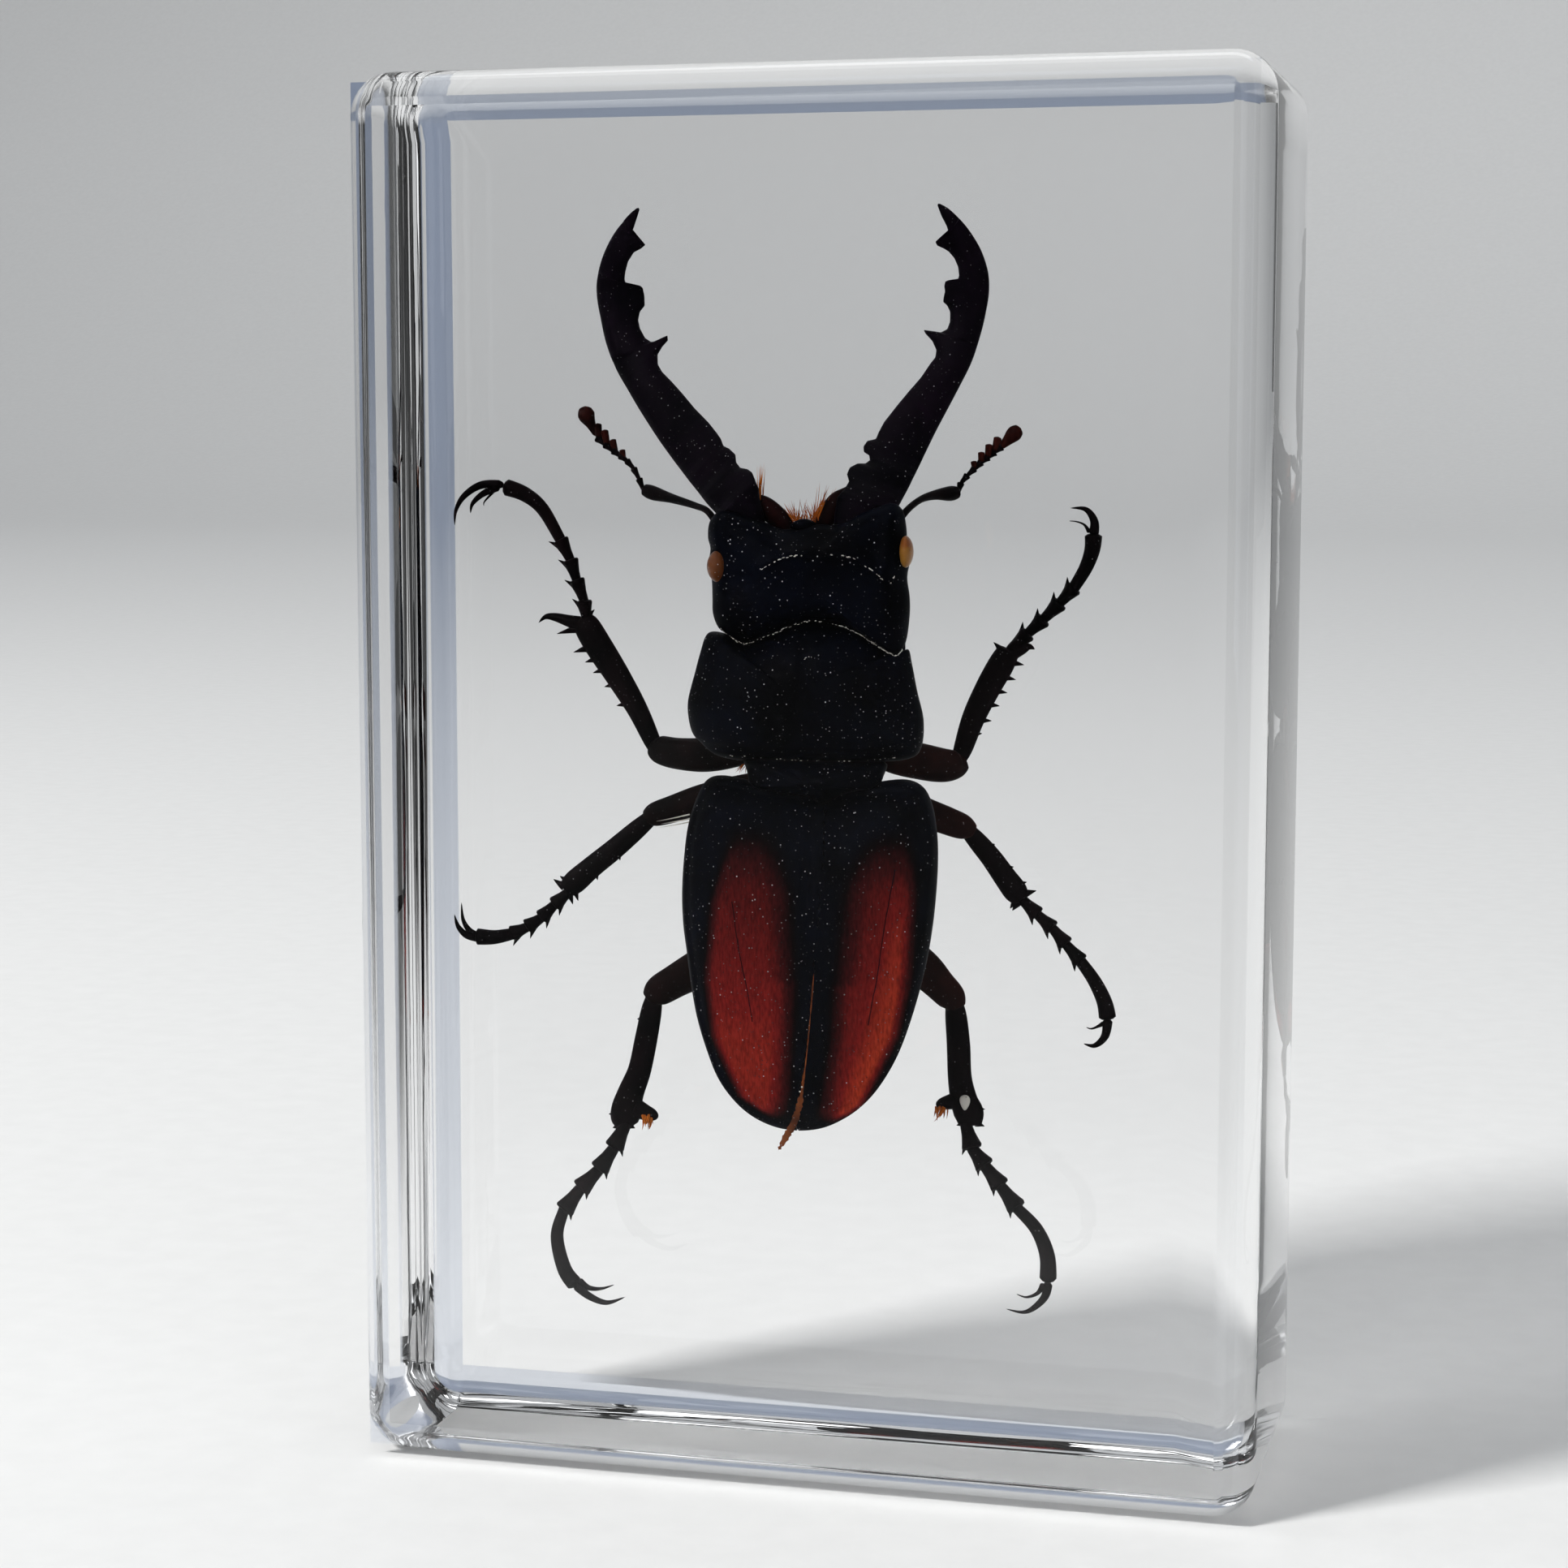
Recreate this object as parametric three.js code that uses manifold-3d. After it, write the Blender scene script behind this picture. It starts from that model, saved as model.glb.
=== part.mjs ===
// Stag beetle sealed in a clear resin block that stands on its short end, the beetle's head up.
// Millimetres, +Z up, X across the block, +Y from the front face (over the beetle's back) to the rear face.
// The origin is the middle of the block's base. Left and right are as seen from the front.
import * as THREE from "three";
import { mergeVertices } from "three/addons/utils/BufferGeometryUtils.js";
import Module from "manifold-3d";

const wasm = await Module();
wasm.setup();

const BLOCK_WIDTH = 72;
const BLOCK_DEPTH = 27;
const BLOCK_HEIGHT = 110;
const CORNER_RADIUS = 3.4;
const EDGE_RADIUS = 2.4;
const PARTING_DEPTH = 7; // behind the front face
const GAP = 0.3; // between neighbouring pieces
const POCKET_GAP = 0.4; // between the beetle and the resin
const CASE_INSET = 1.1; // the abdomen's outline lies this far inside the wing cases

const at = (x, z, depth) => new THREE.Vector3(x, depth - BLOCK_DEPTH / 2, z);

// A manifold-3d solid from a closed geometry, turned face out.
function solid(geometry) {
  const bare = geometry.clone();
  bare.deleteAttribute("normal");
  bare.deleteAttribute("uv");
  const merged = mergeVertices(bare, 1e-4);
  const build = (indices) =>
    new wasm.Manifold(
      new wasm.Mesh({
        numProp: 3,
        vertProperties: new Float32Array(merged.attributes.position.array),
        triVerts: new Uint32Array(indices),
      }),
    );
  const indices = Array.from(merged.index.array);
  const made = build(indices);
  return made.volume() < 0 ? build(indices.reverse()) : made;
}

const joined = (solids) => solids.reduce((all, next) => all.add(next));

// Moves every vertex of a geometry to the place that a function gives for it.
function moved(geometry, place) {
  const spots = geometry.attributes.position;
  for (let i = 0; i < spots.count; i++) {
    const spot = place(new THREE.Vector3().fromBufferAttribute(spots, i));
    spots.setXYZ(i, spot.x, spot.y, spot.z);
  }
  return geometry;
}

// A closed limb through rows of [x, z, depth, radius]; flat thins it from front to rear.
function limb(rows, { sides = 6, grow = 0, flat = 1 } = {}) {
  const centres = rows.map(([x, z, depth]) => at(x, z, depth));
  const last = rows.length - 1;
  const tube = new THREE.CylinderGeometry(1, 1, 1, sides, last);
  const shaped = moved(tube, (v) => {
    const row = Math.round((0.5 - v.y) * last);
    const along = centres[Math.min(row + 1, last)].clone();
    along.sub(centres[Math.max(row - 1, 0)]).normalize();
    const side = new THREE.Vector3(0, 1, 0).cross(along).normalize();
    const rear = along.clone().cross(side);
    const radius = rows[row][3] + grow;
    const end = row === 0 ? -grow : row === last ? grow : 0;
    return centres[row]
      .clone()
      .addScaledVector(along, end)
      .addScaledVector(side, v.x * radius)
      .addScaledVector(rear, v.z * (rows[row][3] * flat + grow));
  });
  return solid(shaped);
}

// A cone-shaped spine from [x, z] to [x, z] at one depth.
const spine = (from, to, depth, radius) =>
  limb([[...from, depth, radius], [...to, depth, 0.06]], { sides: 3 });

// A domed body: an outline of [x, z] points seen from the front, swelling to depths(z) = [front, middle, rear].
function dome(outline, depths, { rings = 8, grow = 0 } = {}) {
  const centre = outline
    .reduce((sum, [x, z]) => sum.add(new THREE.Vector2(x, z)), new THREE.Vector2())
    .divideScalar(outline.length);
  const edge = new THREE.CatmullRomCurve3(
    outline.map(([x, z]) => new THREE.Vector3(x - centre.x, 0, z - centre.y)),
    true,
  );
  const ball = new THREE.SphereGeometry(1, outline.length, rings);
  const shaped = moved(ball, (v) => {
    const turn = (Math.atan2(v.z, -v.x) / (2 * Math.PI) + 1) % 1;
    const rim = edge.getPoint(turn);
    const share = Math.pow(Math.min(Math.hypot(v.x, v.z), 1), 0.8);
    rim.setLength(rim.length() + grow).multiplyScalar(share);
    const [front, middle, rear] = depths(rim.z + centre.y);
    const reach = v.y > 0 ? rear + grow - middle : middle - front + grow;
    return at(rim.x + centre.x, rim.z + centre.y, middle + v.y * reach);
  });
  return solid(shaped);
}

// An outline of [x, z] points, extruded from one depth to another with rounded rims.
function plate(outline, from, to, { rim = 0, grow = 0 } = {}) {
  const shape = new THREE.Shape(outline.map(([x, z]) => new THREE.Vector2(x, z)));
  const slab = new THREE.ExtrudeGeometry(shape, {
    depth: to - from - 2 * rim,
    bevelEnabled: rim > 0 || grow > 0,
    bevelThickness: rim + grow,
    bevelSize: rim + grow,
    bevelOffset: -rim,
    bevelSegments: 1,
    steps: 1,
  });
  return moved(slab, (v) => at(v.x, v.y, from + rim + v.z));
}

const straight = (from, to) => (z) => {
  const share = THREE.MathUtils.clamp((z - from[0]) / (to[0] - from[0]), 0, 1);
  return from.slice(1).map((depth, i) => THREE.MathUtils.lerp(depth, to[i + 1], share));
};

// Trunk: head, pronotum, scutellum, wing cases and abdomen.

const headOutline = [
  [1.1, 75.2], [-1.4, 74.9], [-3, 75.4], [-5, 76.2], [-6.5, 76.1], [-7.2, 75], [-7.5, 73],
  [-7.3, 71.3], [-6.7, 70.2], [-6.9, 68.6], [-6.4, 67.3], [-5.4, 66.6], [-4.3, 66.3], [-2.9, 66.8],
  [-0.4, 67.7], [1.3, 67.9], [4.2, 67.2], [6.5, 66], [7.6, 65.7], [8.4, 66.6], [8.6, 69],
  [8.4, 70.9], [8.8, 73], [8.6, 75], [8.1, 76.3], [7.2, 76.8], [5.3, 76.3], [3.4, 75.3],
];
const pronotumOutline = [
  [1.2, 67.4], [-0.8, 66.9], [-3, 66], [-4.6, 65.5], [-6.4, 66], [-7.6, 65.7], [-8.2, 63.8],
  [-8.9, 61.6], [-8.8, 59.8], [-8, 58.3], [-6.7, 57.3], [-4.6, 56.9], [-0.6, 56.9], [3.2, 56.9],
  [6.4, 57.1], [8.6, 57.4], [9.6, 58.4], [9.7, 60.3], [9.2, 62.6], [8.4, 65], [6.6, 65.3], [4, 66.7],
];
const casesOutline = [
  [2, 54.6], [-0.5, 54.9], [-4.2, 55.4], [-6.4, 55.8], [-7.6, 55.2], [-8.6, 52.6], [-9.4, 49],
  [-9.8, 45.2], [-9.4, 41], [-8.6, 36.8], [-7.4, 33], [-5.5, 30], [-3, 28.2], [-0.6, 27.8],
  [2, 28.5], [4.6, 30.2], [6.9, 32.7], [8.6, 36], [9.7, 40.4], [10.4, 45], [10.7, 49.6],
  [10.5, 53], [9.7, 55.3], [8.2, 55.9], [5.9, 55.5], [3.6, 55],
];
const suture = [
  [2, 58], [2.2, 54.5], [2.5, 51], [2.3, 45.8], [2, 41.7], [1.6, 38], [1.2, 34.2], [0.2, 29.5], [-0.6, 25],
];
const headDepths = () => [1.8, 4.8, 9.6];
const pronotumDepths = straight([57, 1.5, 5.8, 12.4], [67, 1.8, 5.2, 11.2]);
const casesDepths = straight([28, 2.8, 4.8, 7], [46, 1.5, 5.8, 12.8]);
const abdomenDepths = straight([28, 3.7, 4.9, 6.6], [46, 2.6, 6, 12.6]);

const head = (grow = 0) => dome(headOutline, headDepths, { grow });
const pronotum = (grow = 0) => dome(pronotumOutline, pronotumDepths, { grow });
const cases = (grow = 0) => dome(casesOutline, casesDepths, { grow });
const abdomen = (grow = 0) => dome(casesOutline, abdomenDepths, { rings: 6, grow: grow - CASE_INSET });

const eyeCentres = { left: [-6.7, 71.9], right: [8.4, 73.1] };
const eye = (side, grow = 0) =>
  solid(
    moved(new THREE.SphereGeometry(1, 8, 6), (v) =>
      at(
        eyeCentres[side][0] + v.x * (0.95 + grow),
        eyeCentres[side][1] + v.z * (1.35 + grow),
        3.8 + v.y * (1.5 + grow),
      ),
    ),
  );

// The shard of hind wing that shows along the end of the suture.
const wingTip = (grow = 0) =>
  limb(
    [[1.5, 35, 1.6, 0.16], [1, 32.6, 2.2, 0.26], [0.2, 30, 3, 0.32], [-0.5, 28.4, 4, 0.34], [-1.4, 26.3, 5.2, 0.2]],
    { flat: 0.7, grow, sides: 4 },
  );

const scutellum = (grow = 0) =>
  solid(
    plate(
      [[-3.8, 56.5], [6.2, 56.6], [6, 55.9], [3.8, 55.4], [2, 54.9], [-0.2, 55.3], [-3.8, 55.8]],
      3, 9.6, { rim: 0.2, grow },
    ),
  );

const coverDepth = 7; // the wing cases reach this far behind the front face at their margins
const halfOf = (sign) => {
  const inner = suture.map(([x, z]) => [x + sign * 0.5 * GAP, z]);
  const outer = [[sign * 20, suture.at(-1)[1]], [sign * 20, suture[0][1]]];
  return solid(plate([...inner, ...outer], 0, coverDepth));
};
const elytron = (sign) =>
  cases()
    .intersect(halfOf(sign))
    .subtract(abdomen(GAP))
    .subtract(wingTip(GAP))
    .subtract(scutellum(GAP))
    .subtract(pronotum(GAP));

// Mandibles: flattened horns that bow towards the rear face between head and tip.
// Rows are [x, z, half width]; teeth are [root, tip, radius].

const mandibles = {
  left: {
    rows: [
      [-4.7, 75.2, 1.7], [-6.7, 78.2, 2], [-9.6, 81.3, 1.6], [-12.1, 84, 1.55], [-13.9, 86.4, 1.6], [-15, 88.5, 1.65],
      [-15.8, 90.5, 1.6], [-16.2, 92.7, 1.45], [-16.4, 94.8, 1.2], [-15.8, 96.4, 1], [-15, 97.9, 0.7], [-14, 99.4, 0.15],
    ],
    teeth: [
      [[-15.3, 96.2], [-13.2, 96.7], 0.8], [[-15.4, 93.2], [-13.9, 92.8], 1], [[-14.6, 89.2], [-12, 89.5], 1],
      [[-8, 80.8], [-5.8, 80.2], 1], [[-6.2, 78.6], [-3.9, 78.5], 1.2],
    ],
  },
  right: {
    rows: [
      [5, 75.5, 2.2], [6, 78.6, 2.1], [7.3, 81.6, 1.75], [8.6, 84.1, 1.6], [10.1, 86.5, 1.6], [11.1, 88.6, 1.65],
      [11.8, 90.6, 1.5], [12.1, 92.5, 1.45], [12.3, 94.5, 1.2], [11.6, 96.3, 1], [10.8, 97.9, 0.7], [9.8, 99.3, 0.15],
    ],
    teeth: [
      [[11.4, 96.1], [9.6, 96.6], 0.8], [[11.2, 93.1], [9.9, 92.9], 1], [[11, 89.7], [8.4, 89.9], 1],
      [[6, 81], [4.1, 80.9], 1], [[5.2, 78.6], [3.1, 78.6], 1.2],
    ],
  },
};
const mandibleBow = (z) => Math.max(4, 13.2 - 0.042 * (z - 91) ** 2);
const mandible = (side) => {
  const horn = mandibles[side].rows.map(([x, z, radius]) => [x, z, mandibleBow(z), radius]);
  const teeth = mandibles[side].teeth.map(([root, tip, radius]) =>
    limb(
      [[...root, mandibleBow(root[1]), radius], [...tip, mandibleBow(tip[1]), radius * 0.25]],
      { sides: 4, flat: 0.6 },
    ),
  );
  return joined([limb(horn, { sides: 6, flat: 0.65 }), ...teeth]).subtract(head(GAP)).subtract(mouthparts(GAP));
};

// Two lobes with a brush of bristles between them, in front of the head's margin.
const mouthparts = (grow = 0) =>
  solid(
    plate(
      [
        [-2.6, 73.8], [-2.5, 76.4], [-2.2, 77.2], [-1.2, 76.6], [-0.9, 77.6], [0.4, 78], [1.5, 77.6],
        [1.7, 76.8], [2, 76.4], [2, 73.8],
      ],
      4.6, 6.4, { rim: 0.2, grow },
    ),
  );

const antennaRows = {
  left: [
    [-6.6, 75, 5.4, 0.6], [-8.8, 76.3, 8.6, 0.4], [-11.4, 77, 12, 0.42], [-14, 77.5, 13.5, 0.5], [-15, 79.3, 14, 0.32],
    [-16.7, 80.6, 14.5, 0.42], [-18.2, 81.7, 15, 0.5], [-19, 83.5, 15, 0.75], [-19.2, 84.1, 15, 0.3],
  ],
  right: [
    [7.8, 75.6, 5.6, 0.6], [9.1, 77, 9, 0.4], [10.4, 77.6, 11.8, 0.42], [11.2, 77.6, 13.5, 0.45], [11.5, 78.5, 14, 0.32],
    [12.6, 79.6, 14.5, 0.42], [13.8, 80.7, 15, 0.5], [15.3, 81.8, 15, 0.75], [16, 82.2, 15, 0.3],
  ],
};
// Comb plates stand up from the club towards the head.
const combPlates = {
  left: [[-16.2, 80.4, -0.6, 2], [-17, 81, -0.3, 2.1], [-17.8, 81.6, 0, 2.1]],
  right: [[12.3, 79.5, 0, 1.8], [13, 80.1, 0.1, 2], [13.8, 80.8, 0.3, 2]],
};
const antenna = (side) => {
  const combs = combPlates[side].map(([x, z, lean, long]) =>
    limb([[x, z, 14.6, 0.36], [x + lean, z + long, 14.6, 0.3]], { sides: 4 }),
  );
  return joined([limb(antennaRows[side], { sides: 5 }), ...combs]).subtract(head(GAP));
};

// Legs: rows of [x, z, depth, radius] for femur, tibia and tarsus, [from, to, radius] spines, and claws.

const legs = {
  front_left: {
    femur: [[-4.4, 58, 12.6, 1.3], [-8, 56.9, 13.6, 1.35], [-11, 56.6, 15, 1.25], [-13, 56.5, 16.2, 0.9]],
    tibia: [[-13.9, 57.2, 16.8, 0.7], [-15.6, 60.4, 17, 0.85], [-17.8, 63.8, 17, 1.05], [-19.9, 66.8, 17, 0.8]],
    tibiaSpines: [
      [[-15.8, 60.2], [-16.9, 60.1]], [[-16.8, 61.6], [-17.9, 61.7]], [[-17.8, 62.7], [-18.9, 62.8]],
      [[-18.6, 63.8], [-19.7, 63.8]], [[-19.4, 64.8], [-20.8, 64.7]], [[-20.3, 66.4], [-23.5, 66.8]],
    ],
    tarsus: [
      [-20.2, 67.9, 17, 0.3], [-20.3, 69, 16.8, 0.45], [-20.4, 70, 16.7, 0.3], [-20.9, 71.5, 16.6, 0.45],
      [-21.6, 73.2, 16.5, 0.3], [-22.1, 74.2, 16.3, 0.42], [-23.1, 76, 16.1, 0.3], [-24.9, 77.5, 16, 0.4],
      [-27, 77.8, 15.8, 0.3], [-28.8, 77.5, 15.6, 0.42],
    ],
    claws: [[[-29.9, 76.6], [-30.4, 74.6]], [[-28, 76.3], [-26.9, 76]]],
  },
  middle_left: {
    femur: [[-4.6, 54.6, 13, 1], [-8, 53.6, 14, 1.05], [-11, 52.5, 14.9, 1], [-13, 51.8, 15.6, 0.75]],
    tibia: [[-14.2, 51.3, 16, 0.55], [-17, 49, 16.2, 0.7], [-19.6, 46.8, 16.4, 0.85], [-21.2, 45.3, 16.5, 0.85]],
    tibiaSpines: [
      [[-21.4, 45.4], [-23, 45.9]], [[-20.7, 45.1], [-20.3, 43.8]], [[-18.4, 47], [-18, 45.9]],
      [[-17.2, 48.2], [-16.8, 47]],
    ],
    tarsus: [
      [-22, 44.3, 16.5, 0.3], [-23.2, 43.6, 16.4, 0.45], [-23.8, 43.2, 16.3, 0.3], [-25, 42.4, 16.2, 0.45],
      [-25.7, 41.9, 16.1, 0.3], [-27, 41, 16, 0.42], [-27.7, 40.9, 16, 0.3], [-29.2, 41, 15.8, 0.4],
    ],
    claws: [[[-30.1, 41.8], [-30.3, 43.6]], [[-29.7, 42], [-29.3, 42.7]]],
  },
  hind_left: {
    femur: [[-4, 43.4, 13, 1.1], [-7.4, 40.9, 13.6, 1.4], [-10.5, 39, 14.2, 1.35], [-13.2, 37.4, 14.8, 0.9]],
    tibia: [
      [-13.9, 35.9, 15, 0.65], [-14.6, 32.8, 15.2, 0.8], [-15.3, 30, 15.4, 0.85], [-16, 28.2, 15.8, 1.1],
      [-16, 26.8, 15.8, 0.9],
    ],
    tibiaSpines: [[[-14.4, 35.6], [-15.4, 35.9]], [[-16.4, 27.8], [-17.9, 26.6]], [[-15.4, 27.2], [-14.6, 25.2]]],
    tarsus: [
      [-16.4, 25.7, 15.5, 0.3], [-17, 24.4, 15.2, 0.45], [-17.4, 23.6, 15, 0.3], [-18.2, 22.6, 14.8, 0.45],
      [-18.8, 21.9, 14.5, 0.3], [-19.6, 21, 14.2, 0.45], [-20, 20.3, 14, 0.3], [-20.9, 19, 13.7, 0.45],
      [-21.6, 18, 13.5, 0.3], [-21.7, 16.4, 13.2, 0.32], [-20.5, 13.6, 12.8, 0.42],
    ],
    claws: [[[-18.8, 12.5], [-16.4, 11.7]], [[-18.9, 13.4], [-17.2, 13.6]]],
  },
  front_right: {
    femur: [[4.6, 58.4, 12.6, 1.3], [7.4, 57.2, 13.8, 1.35], [9.4, 56.5, 15.2, 1.2], [10.8, 56.2, 16.4, 0.85]],
    tibia: [[11.3, 57.3, 16.8, 0.7], [12.2, 60.2, 17, 0.8], [13.4, 62.8, 17, 0.95], [14.8, 65.1, 17, 0.8]],
    tibiaSpines: [
      [[12.2, 58.4], [13.4, 58.3]], [[12.7, 59.6], [14, 59.3]], [[13.3, 60.9], [14.6, 60.8]],
      [[13.9, 62.2], [15.4, 62]], [[14.6, 63.6], [16.2, 63.4]], [[15.2, 65.2], [17.2, 65]],
    ],
    tarsus: [
      [15.2, 66.2, 17, 0.3], [16.3, 66.7, 17, 0.45], [16.9, 67, 16.9, 0.3], [18, 67.9, 16.8, 0.45],
      [18.5, 68.4, 16.7, 0.3], [19.4, 69.2, 16.6, 0.45], [19.9, 70, 16.5, 0.3], [20.6, 71.8, 16.3, 0.3],
      [21.4, 73.9, 16, 0.42],
    ],
    claws: [[[21.7, 75.2], [20.2, 76.4]], [[20.8, 74.6], [19.7, 75]]],
  },
  middle_right: {
    femur: [[5.6, 54.4, 13, 1], [8, 53, 13.8, 1.05], [10, 52, 14.6, 1], [11.4, 51.6, 15.4, 0.75]],
    tibia: [[12.3, 50.9, 16, 0.55], [13.6, 49.4, 16.2, 0.75], [14.9, 47.8, 16.4, 0.85], [16, 46.3, 16.5, 0.85]],
    tibiaSpines: [
      [[13.6, 50], [14.4, 50.4]], [[14.4, 49], [15.4, 49.2]], [[15.4, 47.6], [16.6, 47.8]],
      [[16.2, 46.4], [17.6, 46.4]], [[15.2, 46.4], [14.6, 45.2]],
    ],
    tarsus: [
      [16.4, 45.3, 16.5, 0.3], [17, 44.5, 16.5, 0.45], [17.4, 44, 16.5, 0.3], [18.2, 43.3, 16.3, 0.45],
      [18.6, 43, 16.2, 0.3], [19.5, 42.3, 16.1, 0.45], [20.1, 41.8, 16, 0.3], [21.3, 40.8, 16, 0.4],
      [22.2, 39.3, 15.9, 0.3], [22.9, 37.2, 15.6, 0.36], [23, 35.9, 15.5, 0.42],
    ],
    claws: [[[22.8, 34.9], [21.3, 34.4]], [[22.1, 35.8], [21.2, 35.4]]],
  },
  hind_right: {
    femur: [[5, 43.6, 13, 1.1], [7.4, 41.4, 13.6, 1.4], [9.2, 39.6, 14.2, 1.3], [10.5, 38.2, 14.8, 0.9]],
    tibia: [
      [11, 36.8, 15, 0.65], [11.3, 33.8, 15.2, 0.8], [11.4, 31, 15.4, 0.85], [11.5, 29.4, 15.8, 1.1],
      [11.9, 28.2, 15.8, 0.8],
    ],
    tibiaSpines: [[[10.6, 29.4], [9.2, 28.6]], [[11.2, 28.6], [10.2, 26.8]], [[11.8, 29.2], [13.5, 28]]],
    tarsus: [
      [11.7, 27.1, 15.5, 0.3], [12.1, 26.1, 15.2, 0.45], [12.5, 25.6, 15, 0.3], [13.4, 25, 14.7, 0.45],
      [13.9, 24.5, 14.5, 0.3], [14.6, 23.6, 14.4, 0.45], [15.1, 22.9, 14.2, 0.3], [16.3, 21.5, 14, 0.45],
      [16.9, 21, 13.7, 0.3], [18, 19.9, 13.4, 0.42], [18.7, 18.2, 13.1, 0.3], [18.9, 16, 12.9, 0.42],
    ],
    claws: [[[18.7, 14.2], [15.8, 13.3]], [[18, 15], [16.6, 14.2]]],
  },
};

const trunkAndGap = joined([head, pronotum, scutellum, cases, abdomen].map((piece) => piece(GAP)));

const femur = (leg) => limb(leg.femur, { sides: 7 }).subtract(trunkAndGap);
const tibia = (leg) =>
  joined([
    limb(leg.tibia, { sides: 5, flat: 0.7 }),
    ...leg.tibiaSpines.map(([from, to]) => spine(from, to, leg.tibia[2][2], 0.45)),
  ]).subtract(limb(leg.femur, { sides: 8, grow: GAP }));
const tarsus = (leg) => {
  const [x, z, depth] = leg.tarsus.at(-1);
  const hooks = leg.claws.map(([bend, tip]) =>
    limb([[x, z, depth, 0.24], [...bend, depth, 0.24], [...tip, depth, 0.08]], { sides: 3 }),
  );
  return joined([limb(leg.tarsus, { sides: 4 }), ...hooks]);
};

// The pocket for the beetle: coarser and wider copies of its parts, all joined.

const everySecond = (rows) => rows.filter((row, i) => i % 2 === 0);
const mandibleMiddles = {
  left: [[-4.8, 75, 3.4], [-8.2, 80.4, 3.2], [-13.4, 86, 2.8], [-15.2, 91, 3.1], [-15.7, 95, 2.7], [-14.2, 99.2, 1.5]],
  right: [[4.8, 75.2, 3.2], [6.5, 80.6, 3], [9.7, 86.2, 2.8], [11, 91, 3.1], [11.4, 95, 2.7], [10, 99.1, 1.5]],
};
const room = (rows, radius, sides = 5) =>
  limb(rows.map(([x, z, depth]) => [x, z, depth, radius]), { sides, grow: POCKET_GAP });
const legPocket = ({ femur, tibia, tibiaSpines, tarsus, claws }) => {
  const depth = tarsus.at(-1)[2];
  const bends = tarsus.filter((row, i) => i % 3 === 0 || row === tarsus.at(-1));
  const lastSpine = tibiaSpines.at(-1)[1];
  return joined([
    room([femur[0], femur[2], tibia[0]], 1.8),
    room([tibia[0], tibia[2], tibia.at(-1), tarsus[0]], 2.8),
    room([tibia.at(-1), [...lastSpine, tibia.at(-1)[2]]], 0.9, 4),
    room(bends, 1.3, 4),
    room([tarsus.at(-1), [...claws[0][1], depth]], 2.7),
  ]);
};
const mandiblePocket = (side) =>
  limb(
    mandibleMiddles[side].map(([x, z, radius]) => [x, z, mandibleBow(z), radius]),
    { sides: 6, flat: 0.75, grow: POCKET_GAP },
  );
const antennaPocket = (side) => {
  const rows = antennaRows[side];
  const [x, z, lean, long] = combPlates[side][1];
  return joined([
    room([rows[0], rows[1], rows[3], rows[4], rows.at(-2), rows.at(-1)], 1.1),
    room([[x, z, 14.6], [x + lean, z + long + 0.7, 14.6]], 2),
  ]);
};
const pocket = joined([
  dome(everySecond(headOutline), headDepths, { rings: 6, grow: 1.2 }),
  dome(pronotumOutline, pronotumDepths, { rings: 5, grow: 0.8 }),
  dome(everySecond(casesOutline), casesDepths, { rings: 6, grow: 1 }),
  scutellum(1),
  mouthparts(POCKET_GAP),
  wingTip(POCKET_GAP + 0.1),
  ...["left", "right"].flatMap((side) => [mandiblePocket(side), antennaPocket(side), eye(side, POCKET_GAP)]),
  ...Object.values(legs).map(legPocket),
]);

// The resin block: a rounded rectangle seen from the front, with rounded rims.

const inner = { x: BLOCK_WIDTH / 2 - CORNER_RADIUS, z: BLOCK_HEIGHT - CORNER_RADIUS };
const face = new THREE.Shape();
face.absarc(inner.x, inner.z, CORNER_RADIUS, 0, Math.PI / 2);
face.absarc(-inner.x, inner.z, CORNER_RADIUS, Math.PI / 2, Math.PI);
face.absarc(-inner.x, CORNER_RADIUS, CORNER_RADIUS, Math.PI, 1.5 * Math.PI);
face.absarc(inner.x, CORNER_RADIUS, CORNER_RADIUS, 1.5 * Math.PI, 2 * Math.PI);
const block = solid(
  moved(
    new THREE.ExtrudeGeometry(face, {
      depth: BLOCK_DEPTH - 2 * EDGE_RADIUS,
      bevelThickness: EDGE_RADIUS,
      bevelSize: EDGE_RADIUS,
      bevelOffset: -EDGE_RADIUS,
      bevelSegments: 3,
      curveSegments: 5,
    }),
    (v) => at(v.x, v.y, EDGE_RADIUS + v.z),
  ),
).subtract(pocket);
const slab = (from, to) =>
  solid(moved(new THREE.BoxGeometry(2, 2, 2), (v) => at(v.x * 60, 55 + v.z * 80, v.y > 0 ? to : from)));

const resin = { color: 0xeef0ee, roughness: 0.05, metalness: 0 };
const black = { color: 0x0b0b0d, roughness: 0.22, metalness: 0 };
const redBlack = { color: 0x3a0f0e, roughness: 0.25, metalness: 0 };
const brown = { color: 0x1d100b, roughness: 0.3, metalness: 0 };
const amber = { color: 0xb07a2a, roughness: 0.3, metalness: 0 };
const orange = { color: 0x9a5518, roughness: 0.6, metalness: 0 };

const group = new THREE.Group();
function addPiece(name, made, finish) {
  const { vertProperties, numProp, triVerts } = made.getMesh();
  const spots = [];
  for (let i = 0; i < vertProperties.length; i += numProp) {
    spots.push(vertProperties[i], vertProperties[i + 1], vertProperties[i + 2]);
  }
  const geometry = new THREE.BufferGeometry();
  geometry.setAttribute("position", new THREE.Float32BufferAttribute(spots, 3));
  geometry.setIndex(Array.from(triVerts));
  const flatShaded = geometry.toNonIndexed();
  flatShaded.computeVertexNormals();
  const mesh = new THREE.Mesh(flatShaded, new THREE.MeshStandardMaterial(finish));
  mesh.name = name;
  group.add(mesh);
}

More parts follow.
